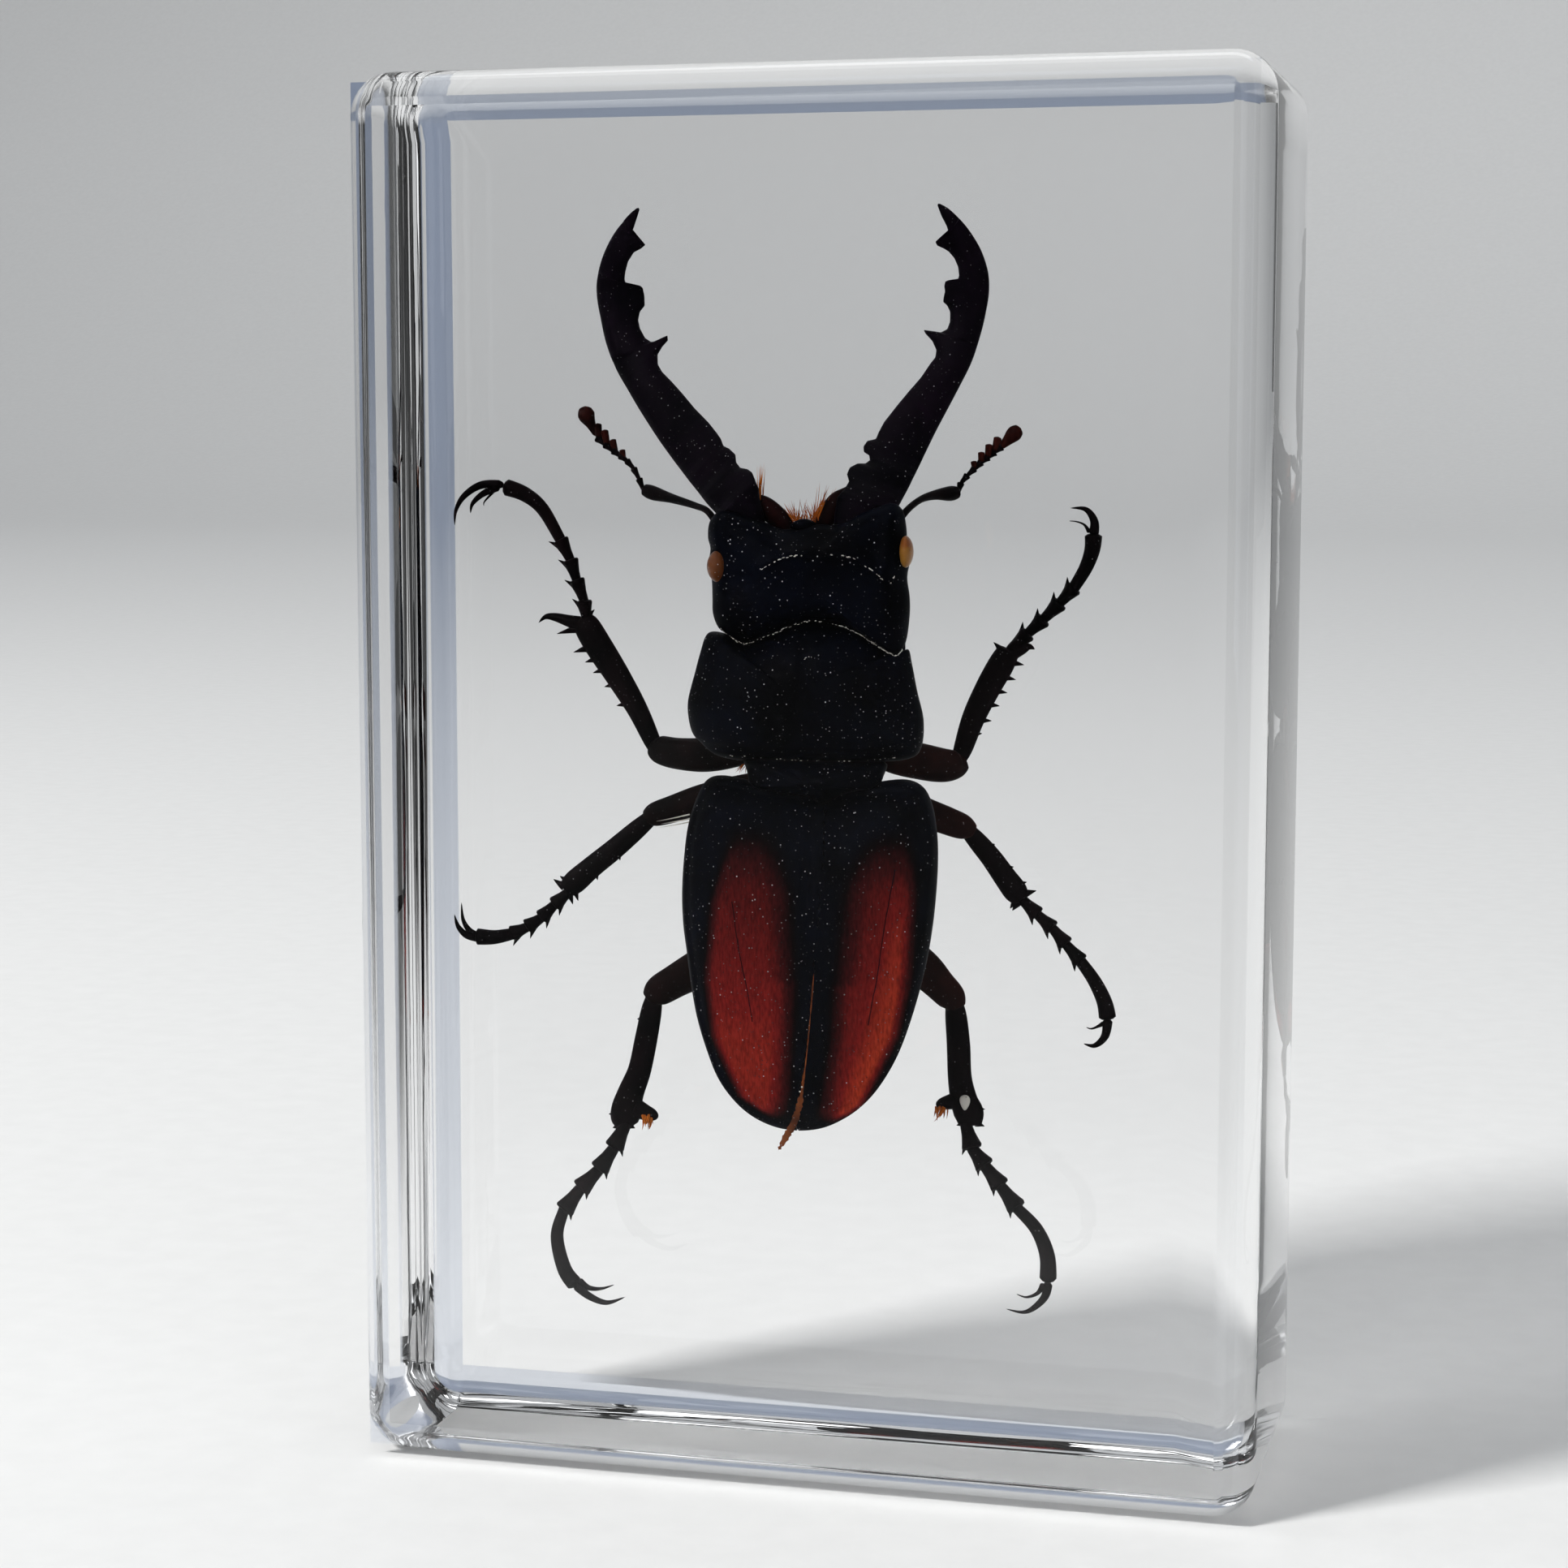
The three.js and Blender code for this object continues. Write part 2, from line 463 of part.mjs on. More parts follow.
addPiece("block_front_half", block.intersect(slab(-1, PARTING_DEPTH - GAP / 2)), resin);
addPiece("block_back_half", block.intersect(slab(PARTING_DEPTH + GAP / 2, BLOCK_DEPTH + 1)), resin);
const bothEyes = eye("left", GAP).add(eye("right", GAP));
addPiece("head", head().subtract(bothEyes), black);
addPiece("pronotum", pronotum(), black);
addPiece("scutellum", scutellum(), black);
addPiece("abdomen", abdomen().subtract(wingTip(GAP)), black);
addPiece("wing_tip", wingTip(), orange);
addPiece("mouthparts", mouthparts().subtract(head(GAP)), orange);
for (const side of ["left", "right"]) {
  addPiece("elytron_" + side, elytron(side === "left" ? -1 : 1), redBlack);
  addPiece("mandible_" + side, mandible(side), black);
  addPiece("antenna_" + side, antenna(side), brown);
  addPiece("eye_" + side, eye(side), amber);
}
for (const [name, leg] of Object.entries(legs)) {
  addPiece(name + "_femur", femur(leg), brown);
  addPiece(name + "_tibia", tibia(leg), brown);
  addPiece(name + "_tarsus", tarsus(leg), brown);
}

export default group;
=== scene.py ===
"""Looks of a stag beetle that is sealed in a clear resin block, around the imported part.

The block stands on its short end with the beetle's back to the front face (-Y) and its jaws up (+Z).
Sizes are in millimetres in the fields and in metres in the meshes; depth is measured from the front face.
"""

import logging
import math
import random
from dataclasses import dataclass, field
from enum import Enum
from itertools import accumulate
from typing import Callable, Sequence

import bpy
from mathutils import Matrix, Vector


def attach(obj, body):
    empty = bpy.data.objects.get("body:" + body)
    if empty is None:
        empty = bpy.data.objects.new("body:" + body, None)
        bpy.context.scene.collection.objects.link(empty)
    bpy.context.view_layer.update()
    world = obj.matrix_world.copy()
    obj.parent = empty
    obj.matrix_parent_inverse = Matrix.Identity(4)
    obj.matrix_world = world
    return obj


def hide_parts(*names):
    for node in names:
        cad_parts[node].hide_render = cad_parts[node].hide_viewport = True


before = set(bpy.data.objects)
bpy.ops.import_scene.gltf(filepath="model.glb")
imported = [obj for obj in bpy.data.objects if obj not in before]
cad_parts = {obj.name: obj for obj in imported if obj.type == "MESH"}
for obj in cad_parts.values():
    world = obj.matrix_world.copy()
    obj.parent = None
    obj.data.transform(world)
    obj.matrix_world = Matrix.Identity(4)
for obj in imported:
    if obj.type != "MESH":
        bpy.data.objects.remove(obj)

Row = tuple[float, ...]
Colour = tuple[float, float, float]
Relief = Callable[[float, float], float]
DepthRule = Callable[[float], Sequence[float]]
Ring = tuple[Vector, Vector, Vector, Vector, float]
Obj = bpy.types.Object
Material = bpy.types.Material
Tree = bpy.types.NodeTree
Socket = bpy.types.NodeSocket

MM = 0.001
BLOCK = Vector((72.0, 27.0, 110.0))
LOG = logging.getLogger("beetle")


class Side(Enum):
    """Side of the beetle as seen from the front, with the sign of its X."""

    LEFT = -1
    RIGHT = 1


class Pair(Enum):
    """Pair of legs, by the word that the names use."""

    FRONT = "front"
    MIDDLE = "middle"
    HIND = "hind"


# Small helpers


def note_size() -> None:
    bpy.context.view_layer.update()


def clamped(low: float, high: float, value: float) -> float:
    """Returns how far a value lies from low to high, from 0 to 1."""
    return min(max((value - low) / (high - low), 0.0), 1.0)


def at(x: float, z: float, depth: float) -> Vector:
    """Returns the point, in metres, that lies x, z and depth millimetres from base middle and front face."""
    return Vector((x, depth - BLOCK.y / 2, z)) * MM


def only(obj: Obj) -> Obj:
    """Deselects everything else and makes one object active.

    Args:
        obj: the object that the next operators act on.

    Returns:
        The same object.
    """
    if bpy.context.object and bpy.context.object.mode != "OBJECT":
        bpy.ops.object.mode_set(mode="OBJECT")
    bpy.ops.object.select_all(action="DESELECT")
    obj.select_set(True)
    bpy.context.view_layer.objects.active = obj
    return obj


def spline(rows: Sequence[Row], share: float, closed: bool = False) -> list[float]:
    """Smooth value along rows of numbers.

    Args:
        rows: the rows that the curve goes through.
        share: place along them, from 0 to 1, evenly in row number.
        closed: whether the last row leads on to the first.

    Returns:
        The row of numbers at that place.
    """
    count = len(rows)
    spans = count if closed else count - 1
    place = min(max(share, 0.0), 1.0) * spans
    i = min(int(place), spans - 1)
    t = place - i

    def row(k: int) -> Row:
        """Returns row k, wrapped or held at the ends."""
        return rows[k % count] if closed else rows[min(max(k, 0), count - 1)]

    a, b, c, d = row(i - 1), row(i), row(i + 1), row(i + 2)
    return [
        0.5 * (2 * q + (r - p) * t + (2 * p - 5 * q + 4 * r - s) * t**2 + (3 * q - p - 3 * r + s) * t**3)
        for p, q, r, s in zip(a, b, c, d)
    ]


def walked(points: Sequence[Row], count: int) -> list[Row]:
    """Spreads places evenly along a chain of points.

    Args:
        points: the chain.
        count: how many places are wanted.

    Returns:
        The places, from the first point to the last.
    """
    run = [0.0]
    for a, b in zip(points, points[1:]):
        run.append(run[-1] + math.dist(a, b))
    spots, k = [], 0
    for i in range(count):
        want = run[-1] * i / (count - 1)
        while k < len(run) - 2 and run[k + 1] < want:
            k += 1
        t = (want - run[k]) / (run[k + 1] - run[k])
        spots.append(tuple(p + (q - p) * t for p, q in zip(points[k], points[k + 1])))
    return spots


def bell(x: float, z: float, cx: float, cz: float, rx: float, rz: float) -> float:
    """Returns a soft bump of height 1 at (cx, cz) that fades over rx and rz."""
    return math.exp(-(((x - cx) / rx) ** 2) - ((z - cz) / rz) ** 2)


def across(chain: Sequence[Row], z: float) -> float:
    """Finds where a rising chain crosses a height.

    Args:
        chain: its [x, z] points, from the lowest up.
        z: the height.

    Returns:
        The chain's x there, or its end's x above and below it.
    """
    if z <= chain[0][1]:
        return chain[0][0]
    for (ax, az), (bx, bz) in zip(chain, chain[1:]):
        if z <= bz:
            return ax + (bx - ax) * (z - az) / (bz - az)
    return chain[-1][0]


def line_bell(x: float, z: float, ends: Sequence[Row], width: float) -> float:
    """Height of a soft ridge of height 1 along a chain.

    Args:
        x: sideways place.
        z: height.
        ends: the [x, z] points of the chain.
        width: how far the ridge fades.

    Returns:
        The ridge's height at the place.
    """
    best = math.inf
    for (ax, az), (bx, bz) in zip(ends, ends[1:]):
        dx, dz = bx - ax, bz - az
        t = min(max(((x - ax) * dx + (z - az) * dz) / (dx * dx + dz * dz), 0.0), 1.0)
        best = min(best, math.hypot(x - ax - t * dx, z - az - t * dz))
    return math.exp(-((best / width) ** 2))


def smooth(low: float, high: float, value: float) -> float:
    """Returns 0 below low, 1 above high and a smooth step between them."""
    t = clamped(low, high, value)
    return t * t * (3 - 2 * t)


def shape(obj: Obj, place: Callable[[Vector], Vector]) -> Obj:
    """Moves every vertex of a mesh to the place that a function gives for it.

    Args:
        obj: the mesh object.
        place: gives the new place for an old one.

    Returns:
        The same object.
    """
    for vertex in obj.data.vertices:
        vertex.co = place(vertex.co.copy())
    obj.data.update()
    return obj


def ball(name: str, around: int, rings: int, poles: str = "Z") -> Obj:
    """Adds a unit ball with its poles along an axis.

    Args:
        name: the new object's name.
        around: faces around the axis.
        rings: faces from pole to pole.
        poles: "Z", or "Y" for poles at front and rear.

    Returns:
        The new object.
    """
    bpy.ops.object.select_all(action="DESELECT")
    bpy.ops.mesh.primitive_uv_sphere_add(segments=around, ring_count=rings, radius=1)
    obj = bpy.context.object
    obj.name = obj.data.name = name
    if poles == "Y":
        obj.data.transform(Matrix.Rotation(math.pi / 2, 4, "X"))
    return obj


def grown(name: str, sides: int, profile: Sequence[Row]) -> Obj:
    """Models a round shape by extruding and resizing a disc along +Z.

    Args:
        name: the new object's name.
        sides: faces around.
        profile: rows of [height, radius], from the foot up.

    Returns:
        The new object, closed at both ends.
    """
    bpy.ops.object.select_all(action="DESELECT")
    low, radius = profile[0]
    bpy.ops.mesh.primitive_circle_add(vertices=sides, radius=radius, fill_type="NGON", location=(0, 0, low))
    obj = bpy.context.object
    obj.name = obj.data.name = name
    bpy.ops.object.transform_apply()
    bpy.ops.object.mode_set(mode="EDIT")
    bpy.ops.mesh.select_all(action="SELECT")
    for height, wide in profile[1:]:
        bpy.ops.mesh.extrude_region_move(TRANSFORM_OT_translate={"value": (0, 0, height - low)})
        factor = wide / radius
        bpy.ops.transform.resize(value=(factor, factor, factor), center_override=(0, 0, height))
        low, radius = height, wide
    bpy.ops.mesh.select_all(action="SELECT")
    bpy.ops.mesh.normals_make_consistent(inside=False)
    bpy.ops.object.mode_set(mode="OBJECT")
    return obj


def placed(
    model: Obj, start: Vector, end: Vector, width: float, toward: Vector = Vector((0, -1, 0))
) -> Obj:
    """Copies a unit model so that its +Z runs from start to end.

    Args:
        model: the model, from 0 to 1 along its +Z.
        start: where the model's foot goes.
        end: where the model's tip goes.
        width: scale across, in metres.
        toward: the way that the model's +X should look.

    Returns:
        The copy, with its own mesh.
    """
    along = end - start
    z = along.normalized()
    x = (toward - z * toward.dot(z)).normalized()
    y = z.cross(x)
    turn = Matrix((x * width, y * width, along)).transposed().to_4x4()
    copy = bpy.data.objects.new(model.name, model.data.copy())
    bpy.context.scene.collection.objects.link(copy)
    copy.data.transform(Matrix.Translation(start) @ turn)
    copy.data.update()
    return copy


def coated(parts: Sequence[Obj], material: Material) -> Sequence[Obj]:
    """Gives parts their material before they are joined.

    Args:
        parts: the mesh objects.
        material: their material.

    Returns:
        The same objects.
    """
    for part in parts:
        part.data.materials.append(material)
    return parts


def pick_edges(obj: Obj, wanted: Callable[[Vector, Vector], bool]) -> None:
    """Selects edges by their two ends and leaves the object in edit mode.

    Args:
        obj: the mesh object.
        wanted: tells by its ends whether an edge is wanted.
    """
    only(obj)
    bpy.ops.object.mode_set(mode="EDIT")
    bpy.ops.mesh.select_mode(type="EDGE")
    bpy.ops.mesh.select_all(action="DESELECT")
    bpy.ops.object.mode_set(mode="OBJECT")
    spots = obj.data.vertices
    for edge in obj.data.edges:
        edge.select = wanted(*(spots[i].co for i in edge.vertices))
    bpy.ops.object.mode_set(mode="EDIT")


def joined(name: str, parts: Sequence[Obj]) -> Obj:
    """Joins mesh objects into one piece.

    Args:
        name: the piece's name.
        parts: the objects, of which the first is kept.

    Returns:
        The joined object.
    """
    only(parts[0])
    for part in parts:
        part.select_set(True)
    bpy.ops.object.join()
    parts[0].name = parts[0].data.name = name
    return parts[0]


def ring_frame(rows: Sequence[Row], share: float) -> Ring:
    """Frame of a limb's ring.

    Args:
        rows: rows of [x, z, depth, radius].
        share: place along them, from 0 to 1.

    Returns:
        The ring's centre, the ways along, aside and to the rear, and its radius.
    """
    step, least_radius = 0.01, 0.02
    x, z, depth, radius = spline(rows, share)
    before = spline(rows, share - step)
    after = spline(rows, share + step)
    along = (at(*after[:3]) - at(*before[:3])).normalized()
    aside = Vector((0, 1, 0)).cross(along).normalized()
    return at(x, z, depth), along, aside, along.cross(aside), max(radius, least_radius) * MM


def limb(
    name: str,
    rows: Sequence[Row],
    sides: int = 14,
    rings: int = 30,
    flat: float = 1.0,
    edge: Relief | None = None,
) -> Obj:
    """Builds a limb with round ends through rows of [x, z, depth, radius].

    Args:
        name: the new object's name.
        rows: the rows, in millimetres.
        sides: faces around.
        rings: faces along.
        flat: thickness from front to rear as a share of the width.
        edge: extra reach in metres for a share along and a sideways sign.

    Returns:
        The new object.
    """
    frames: dict[int, Ring] = {}
    round_rings, edge_spread = 2.2, 1.5

    def place(v: Vector) -> Vector:
        """Moves a ball's vertex onto the limb.

        Args:
            v: the vertex on the unit ball.

        Returns:
            Its place, in metres.
        """
        ring = round(math.acos(min(max(v.z, -1.0), 1.0)) / math.pi * rings)
        share = ring / rings
        if ring not in frames:
            frames[ring] = ring_frame(rows, share)
        centre, _, aside, rear, radius = frames[ring]
        flatten = math.hypot(v.x, v.y)
        if flatten < 1e-6:
            return centre
        cos, sin = v.x / flatten, v.y / flatten
        near = min(ring, rings - ring)
        tip = math.sin(min(near / round_rings, 1.0) * math.pi / 2)
        wide = radius * tip
        if edge:
            wide += edge(share, cos) * abs(cos) ** edge_spread
        return centre + aside * cos * wide + rear * sin * radius * flat * tip

    return shape(ball(name, sides, rings), place)


def dome(
    name: str,
    outline: Sequence[Row],
    depths: DepthRule,
    relief: Relief | None = None,
    around: int = 140,
    rings: int = 64,
    inset: float = 0.0,
) -> Obj:
    """Builds a domed body from its outline as seen from the front.

    Args:
        name: the new object's name.
        outline: rows of [x, z] around the body.
        depths: front, middle and rear depth at a height.
        relief: how far the front rises towards the viewer at a place, in millimetres.
        around: faces around.
        rings: faces from front to rear.
        inset: how far the outline is drawn in, in millimetres.

    Returns:
        The new object.
    """
    cx = sum(x for x, _ in outline) / len(outline)
    cz = sum(z for _, z in outline) / len(outline)
    rims: dict[int, tuple[float, float]] = {}
    fullness, relief_fade = 0.8, 0.35

    def place(v: Vector) -> Vector:
        """Moves a ball's vertex onto the dome.

        Args:
            v: the vertex on the unit ball.

        Returns:
            Its place, in metres.
        """
        turn = (math.atan2(v.z, -v.x) / math.tau + 1) % 1
        spoke = round(turn * around) % around
        if spoke not in rims:
            x, z = spline(outline, spoke / around, closed=True)
            x, z = x - cx, z - cz
            size = math.hypot(x, z)
            rims[spoke] = (x * (size - inset) / size, z * (size - inset) / size)
        share = min(math.hypot(v.x, v.z), 1.0) ** fullness
        x, z = rims[spoke][0] * share + cx, rims[spoke][1] * share + cz
        front, middle, rear = depths(z)
        reach = rear - middle if v.y > 0 else middle - front
        depth = middle + v.y * reach
        if relief and v.y < 0:
            depth -= relief(x, z) * smooth(0, relief_fade, -v.y)
        return at(x, z, depth)

    body = shape(ball(name, around, rings, "Y"), place)
    body.data.flip_normals()
    return body


# Finishes


def add_node(tree: Tree, kind: str, inputs: dict[str | int, object], **settings: str) -> bpy.types.Node:
    """Adds a shader node, sets it up and fills its inputs.

    Args:
        tree: the node tree.
        kind: the node's kind without the word that every kind begins with.
        inputs: a value, or another node's socket, for each input's name or number.
        settings: the node's own settings.

    Returns:
        The node.
    """
    node = tree.nodes.new("ShaderNode" + kind)
    for name, value in settings.items():
        setattr(node, name, value)
    for name, value in inputs.items():
        if isinstance(value, Socket):
            tree.links.new(value, node.inputs[name])
        else:
            node.inputs[name].default_value = value
    return node


def maths(tree: Tree, operation: str, *values: Socket | float) -> Socket:
    """Returns the result of a math node on sockets and numbers."""
    return add_node(tree, "Math", dict(enumerate(values)), operation=operation).outputs[0]


def object_place(tree: Tree) -> Socket:
    """Returns Object coordinates."""
    return tree.nodes.new("ShaderNodeTexCoord").outputs["Object"]


@dataclass(frozen=True)
class Specks:
    """Tiny pale specks, the air caught on a surface."""

    scale: float = 3300.0
    reach: Row = (0.06, 0.215)
    gaps: Row = (0.35, 0.4)
    tones: Sequence[Row] = ((0, 0.02), (0.5, 0.08), (0.82, 0.38), (1, 1.2))
    tint: Colour = (1, 1, 1.05)


@dataclass(frozen=True)
class Finish:
    """A surface finish built from shader nodes on Object coordinates; scales are per metre."""

    name: str
    base: Colour
    tint: Colour
    roughness: float = 0.5
    specular: float = 0.035
    speck: float = 0.4
    grain: float = 0.2
    grain_scale: float = 6000.0
    grain_depth: float = 0.05
    mottle_scale: float = 220.0
    mottle_span: Row = (0.35, 0.68)
    specks: Specks = Specks()

    def nodes(self) -> tuple[Material, Tree, bpy.types.Node]:
        """Starts the material.

        Returns:
            The material, its node tree and its surface shader.
        """
        material = bpy.data.materials.new(self.name)
        material.use_nodes = True
        tree = material.node_tree
        shader = tree.nodes["Principled BSDF"]
        shader.inputs["Roughness"].default_value = self.roughness
        shader.inputs["Specular IOR Level"].default_value = self.specular
        return material, tree, shader

    def noise(self, tree: Tree, scale: float, stretch: Row = (1, 1, 1)) -> Socket:
        """Adds a noise on Object coordinates.

        Args:
            tree: the node tree.
            scale: how fine the noise is, per metre.
            stretch: scale along each axis.

        Returns:
            The noise's value.
        """
        mapping = add_node(tree, "Mapping", {"Vector": object_place(tree), "Scale": stretch})
        noise = add_node(tree, "TexNoise", {"Vector": mapping.outputs["Vector"], "Scale": scale, "Detail": 4})
        return noise.outputs["Fac"]

    def ramp(self, tree: Tree, value: Socket, stops: Sequence[tuple[float, Colour]]) -> Socket:
        """Colours a value by a ramp.

        Args:
            tree: the node tree.
            value: the value that drives the ramp.
            stops: places and colours.

        Returns:
            The ramp's colour.
        """
        ramp = add_node(tree, "ValToRGB", {"Fac": value})
        points = ramp.color_ramp.elements
        while len(points) < len(stops):
            points.new(0.5)
        for point, (place, colour) in zip(points, stops):
            point.position = place
            point.color = (*colour, 1)
        return ramp.outputs["Color"]

    def greys(self, tree: Tree, value: Socket, *stops: Row) -> Socket:
        """Returns a ramp of greys through stops of [place, tone]."""
        return self.ramp(tree, value, [(place, (tone,) * 3) for place, tone in stops])

    def mix(self, tree: Tree, share: Socket, below: Socket, above: Socket) -> Socket:
        """Returns below where share is 0 and above where it is 1."""
        inputs = {"Factor": share, "A": below, "B": above}
        return add_node(tree, "Mix", inputs, data_type="RGBA").outputs["Result"]

    def multiplied(self, tree: Tree, first: Socket, second: Socket) -> Socket:
        """Returns the product of two colours."""
        inputs = {"Factor": 1, "A": first, "B": second}
        return add_node(tree, "Mix", inputs, data_type="RGBA", blend_type="MULTIPLY").outputs["Result"]

    def mottled(self, tree: Tree) -> Socket:
        """Returns the base colour with clouds of the tint."""
        low, high = self.mottle_span
        return self.ramp(tree, self.noise(tree, self.mottle_scale), [(low, self.base), (high, self.tint)])

    def specked(self, tree: Tree, colour: Socket) -> Socket:
        """Strews the specks over a colour.

        Args:
            tree: the node tree.
            colour: the colour below the specks.

        Returns:
            The colour with specks.
        """
        specks = self.specks
        cells = add_node(tree, "TexVoronoi", {"Vector": object_place(tree), "Scale": specks.scale})
        split = add_node(tree, "SeparateColor", {"Color": cells.outputs["Color"]})
        near = self.greys(tree, cells.outputs["Distance"], (specks.reach[0], 1), (specks.reach[1], 0))
        few = self.greys(tree, split.outputs["Red"], (specks.gaps[0], 0), (specks.gaps[1], 1))
        tones = [(place, tuple(self.speck * tone * c for c in specks.tint)) for place, tone in specks.tones]
        pale = self.ramp(tree, split.outputs["Green"], tones)
        return self.mix(tree, self.multiplied(tree, near, few), colour, pale)

    def bump(self, tree: Tree, shader: bpy.types.Node, height: Socket) -> None:
        """Feeds a fine bump into the shader."""
        inputs = {"Strength": self.grain, "Distance": self.grain_depth * MM, "Height": height}
        tree.links.new(add_node(tree, "Bump", inputs).outputs["Normal"], shader.inputs["Normal"])

    def material(self) -> Material:
        """Builds a mottled, grained and specked material.

        Returns:
            The material.
        """
        material, tree, shader = self.nodes()
        tree.links.new(self.specked(tree, self.mottled(tree)), shader.inputs["Base Color"])
        self.bump(tree, shader, self.noise(tree, self.grain_scale))
        return material


@dataclass(frozen=True)
class WingCaseFinish(Finish):
    """Black with a deep red patch that follows the mesh's own attribute, fine hairs and one dark vein."""

    stops: Sequence[tuple[float, Colour]] = (
        (0.0, (0.0008, 0.0010, 0.0026)), (0.12, (0.004, 0.0009, 0.0014)), (0.4, (0.055, 0.005, 0.0055)),
        (0.75, (0.215, 0.0125, 0.0105)), (1.0, (0.46, 0.042, 0.017)),
    )
    patch_start: float = 0.1
    hair_scale: float = 2600.0
    hair_stretch: Row = (2.4, 1, 0.6)
    hair_tones: Sequence[Row] = ((0.3, 0.62), (0.7, 1.35))
    grain_scale: float = 3200.0
    grain_stretch: Row = (1.8, 1, 0.7)
    vein: Sequence[Row] = ((0, 0), (1, 1))
    vein_share: float = 0.85
    vein_reach: float = 0.045
    vein_wave: float = 0.25
    vein_wave_scale: float = 160.0

    def on_vein(self, tree: Tree) -> Socket:
        """Marks the thin, wavy vein.

        Args:
            tree: the node tree.

        Returns:
            1 on the vein and 0 off it.
        """
        (ax, az), (bx, bz) = self.vein
        slope = (bx - ax) / (bz - az)
        split = add_node(tree, "SeparateXYZ", {"Vector": object_place(tree)})
        x, z = split.outputs["X"], split.outputs["Z"]
        middle = maths(tree, "MULTIPLY_ADD", z, slope, (ax - slope * az) * MM)
        noise = self.noise(tree, self.vein_wave_scale)
        wave = maths(tree, "MULTIPLY_ADD", noise, 2 * self.vein_wave * MM, -self.vein_wave * MM)
        off = maths(tree, "ABSOLUTE", maths(tree, "SUBTRACT", x, maths(tree, "ADD", middle, wave)))
        thin = maths(tree, "LESS_THAN", off, self.vein_reach * MM)
        below = maths(tree, "LESS_THAN", z, max(az, bz) * MM)
        above = maths(tree, "GREATER_THAN", z, min(az, bz) * MM)
        return maths(tree, "MULTIPLY", maths(tree, "MULTIPLY", thin, below), above)

    def material(self) -> Material:
        """Builds the wing case's material.

        Returns:
            The material.
        """
        material, tree, shader = self.nodes()
        patch = add_node(tree, "Attribute", {}, attribute_name="red_patch").outputs["Fac"]
        black = self.mottled(tree)
        hairs = self.greys(tree, self.noise(tree, self.hair_scale, self.hair_stretch), *self.hair_tones)
        red = self.multiplied(tree, self.ramp(tree, patch, self.stops), hairs)
        colour = self.mix(tree, self.greys(tree, patch, (0, 0), (self.patch_start, 1)), black, red)
        vein = self.greys(tree, self.on_vein(tree), (0, 0), (1, self.vein_share))
        colour = self.mix(tree, vein, colour, black)
        tree.links.new(self.specked(tree, colour), shader.inputs["Base Color"])
        self.bump(tree, shader, self.noise(tree, self.grain_scale, self.grain_stretch))
        return material


@dataclass(frozen=True)
class ResinFinish(Finish):
    """Clear casting resin: plain transmission and IOR, with a faint absorption in its depth."""

    specular: float = 0.5
    grain: float = 0.04
    grain_scale: float = 60.0
    grain_depth: float = 0.3
    ior: float = 1.5
    density: float = 1.5
    depth_colour: Colour = (0.92, 0.94, 0.975)

    def material(self) -> Material:
        """Builds the clear material.

        Returns:
            The material.
        """
        material, tree, shader = self.nodes()
        shader.inputs["Base Color"].default_value = (*self.base, 1)
        shader.inputs["Transmission Weight"].default_value = 1
        shader.inputs["IOR"].default_value = self.ior
        absorb = add_node(tree, "VolumeAbsorption", {"Color": (*self.depth_colour, 1), "Density": self.density})
        tree.links.new(absorb.outputs["Volume"], tree.nodes["Material Output"].inputs["Volume"])
        self.bump(tree, shader, self.noise(tree, self.grain_scale))
        return material


@dataclass(frozen=True)
class TableFinish(Finish):
    """Matt pale table top and backdrop with painted shade in their tone: palest around the block, and painted dark well
    in front of it.

    The stops are metres from front to rear and up, and tone. The tone along them is painted shade, and the front of the
    table is painted dark so that the block's front face mirrors a dark surface.
    """

    mottle_scale: float = 260.0
    mottle_span: Row = (0.3, 0.7)
    cool: float = 1.005
    stops: Sequence[Row] = (
        (-1.0, 0.01), (-0.14, 0.06), (-0.06, 0.79), (0.1, 0.79), (0.3, 0.78), (0.6, 0.78), (1.1, 0.76), (2.2, 0.74),
        (3.2, 0.82), (5, 0.84),
    )

    def material(self) -> Material:
        """Builds the table's material, whose painted shade runs with the distance from front to rear and up.

        Returns:
            The material.
        """
        material, tree, shader = self.nodes()
        split = add_node(tree, "SeparateXYZ", {"Vector": object_place(tree)})
        far = maths(tree, "ADD", split.outputs["Y"], split.outputs["Z"])
        low, high = self.stops[0][0], self.stops[-1][0]
        run = add_node(tree, "MapRange", {"Value": far, "From Min": low, "From Max": high}).outputs["Result"]
        tones = [((y - low) / (high - low), (tone, tone * self.cool, tone * self.cool)) for y, tone in self.stops]
        colour = self.multiplied(tree, self.ramp(tree, run, tones), self.mottled(tree))
        tree.links.new(colour, shader.inputs["Base Color"])
        self.bump(tree, shader, self.noise(tree, self.grain_scale))
        return material


# The chitin's bluish tint clouds are painted sheen, standing for the faint blue reflections on the black.
CHITIN = Finish("black_chitin", (0.0003, 0.0004, 0.0012), (0.0018, 0.0028, 0.0075), specular=0.025, speck=0.8)
JAW = Finish("jaw_chitin", (0.0008, 0.0006, 0.002), (0.005, 0.002, 0.006), speck=0.3)
LEG = Finish("leg_chitin", (0.0010, 0.0007, 0.0012), (0.007, 0.003, 0.004), speck=0.25)
THIGH = Finish("thigh_chitin", (0.0018, 0.0008, 0.0008), (0.010, 0.003, 0.003), speck=0.25)
RED_THIGH = Finish("red_thigh_chitin", (0.003, 0.0010, 0.0010), (0.022, 0.005, 0.004), speck=0.25)
CLUB = Finish("club_chitin", (0.005, 0.0015, 0.0015), (0.06, 0.010, 0.006), speck=0.15)
LOBE = Finish("lobe_chitin", (0.004, 0.0010, 0.0012), (0.03, 0.006, 0.006), speck=0.25)
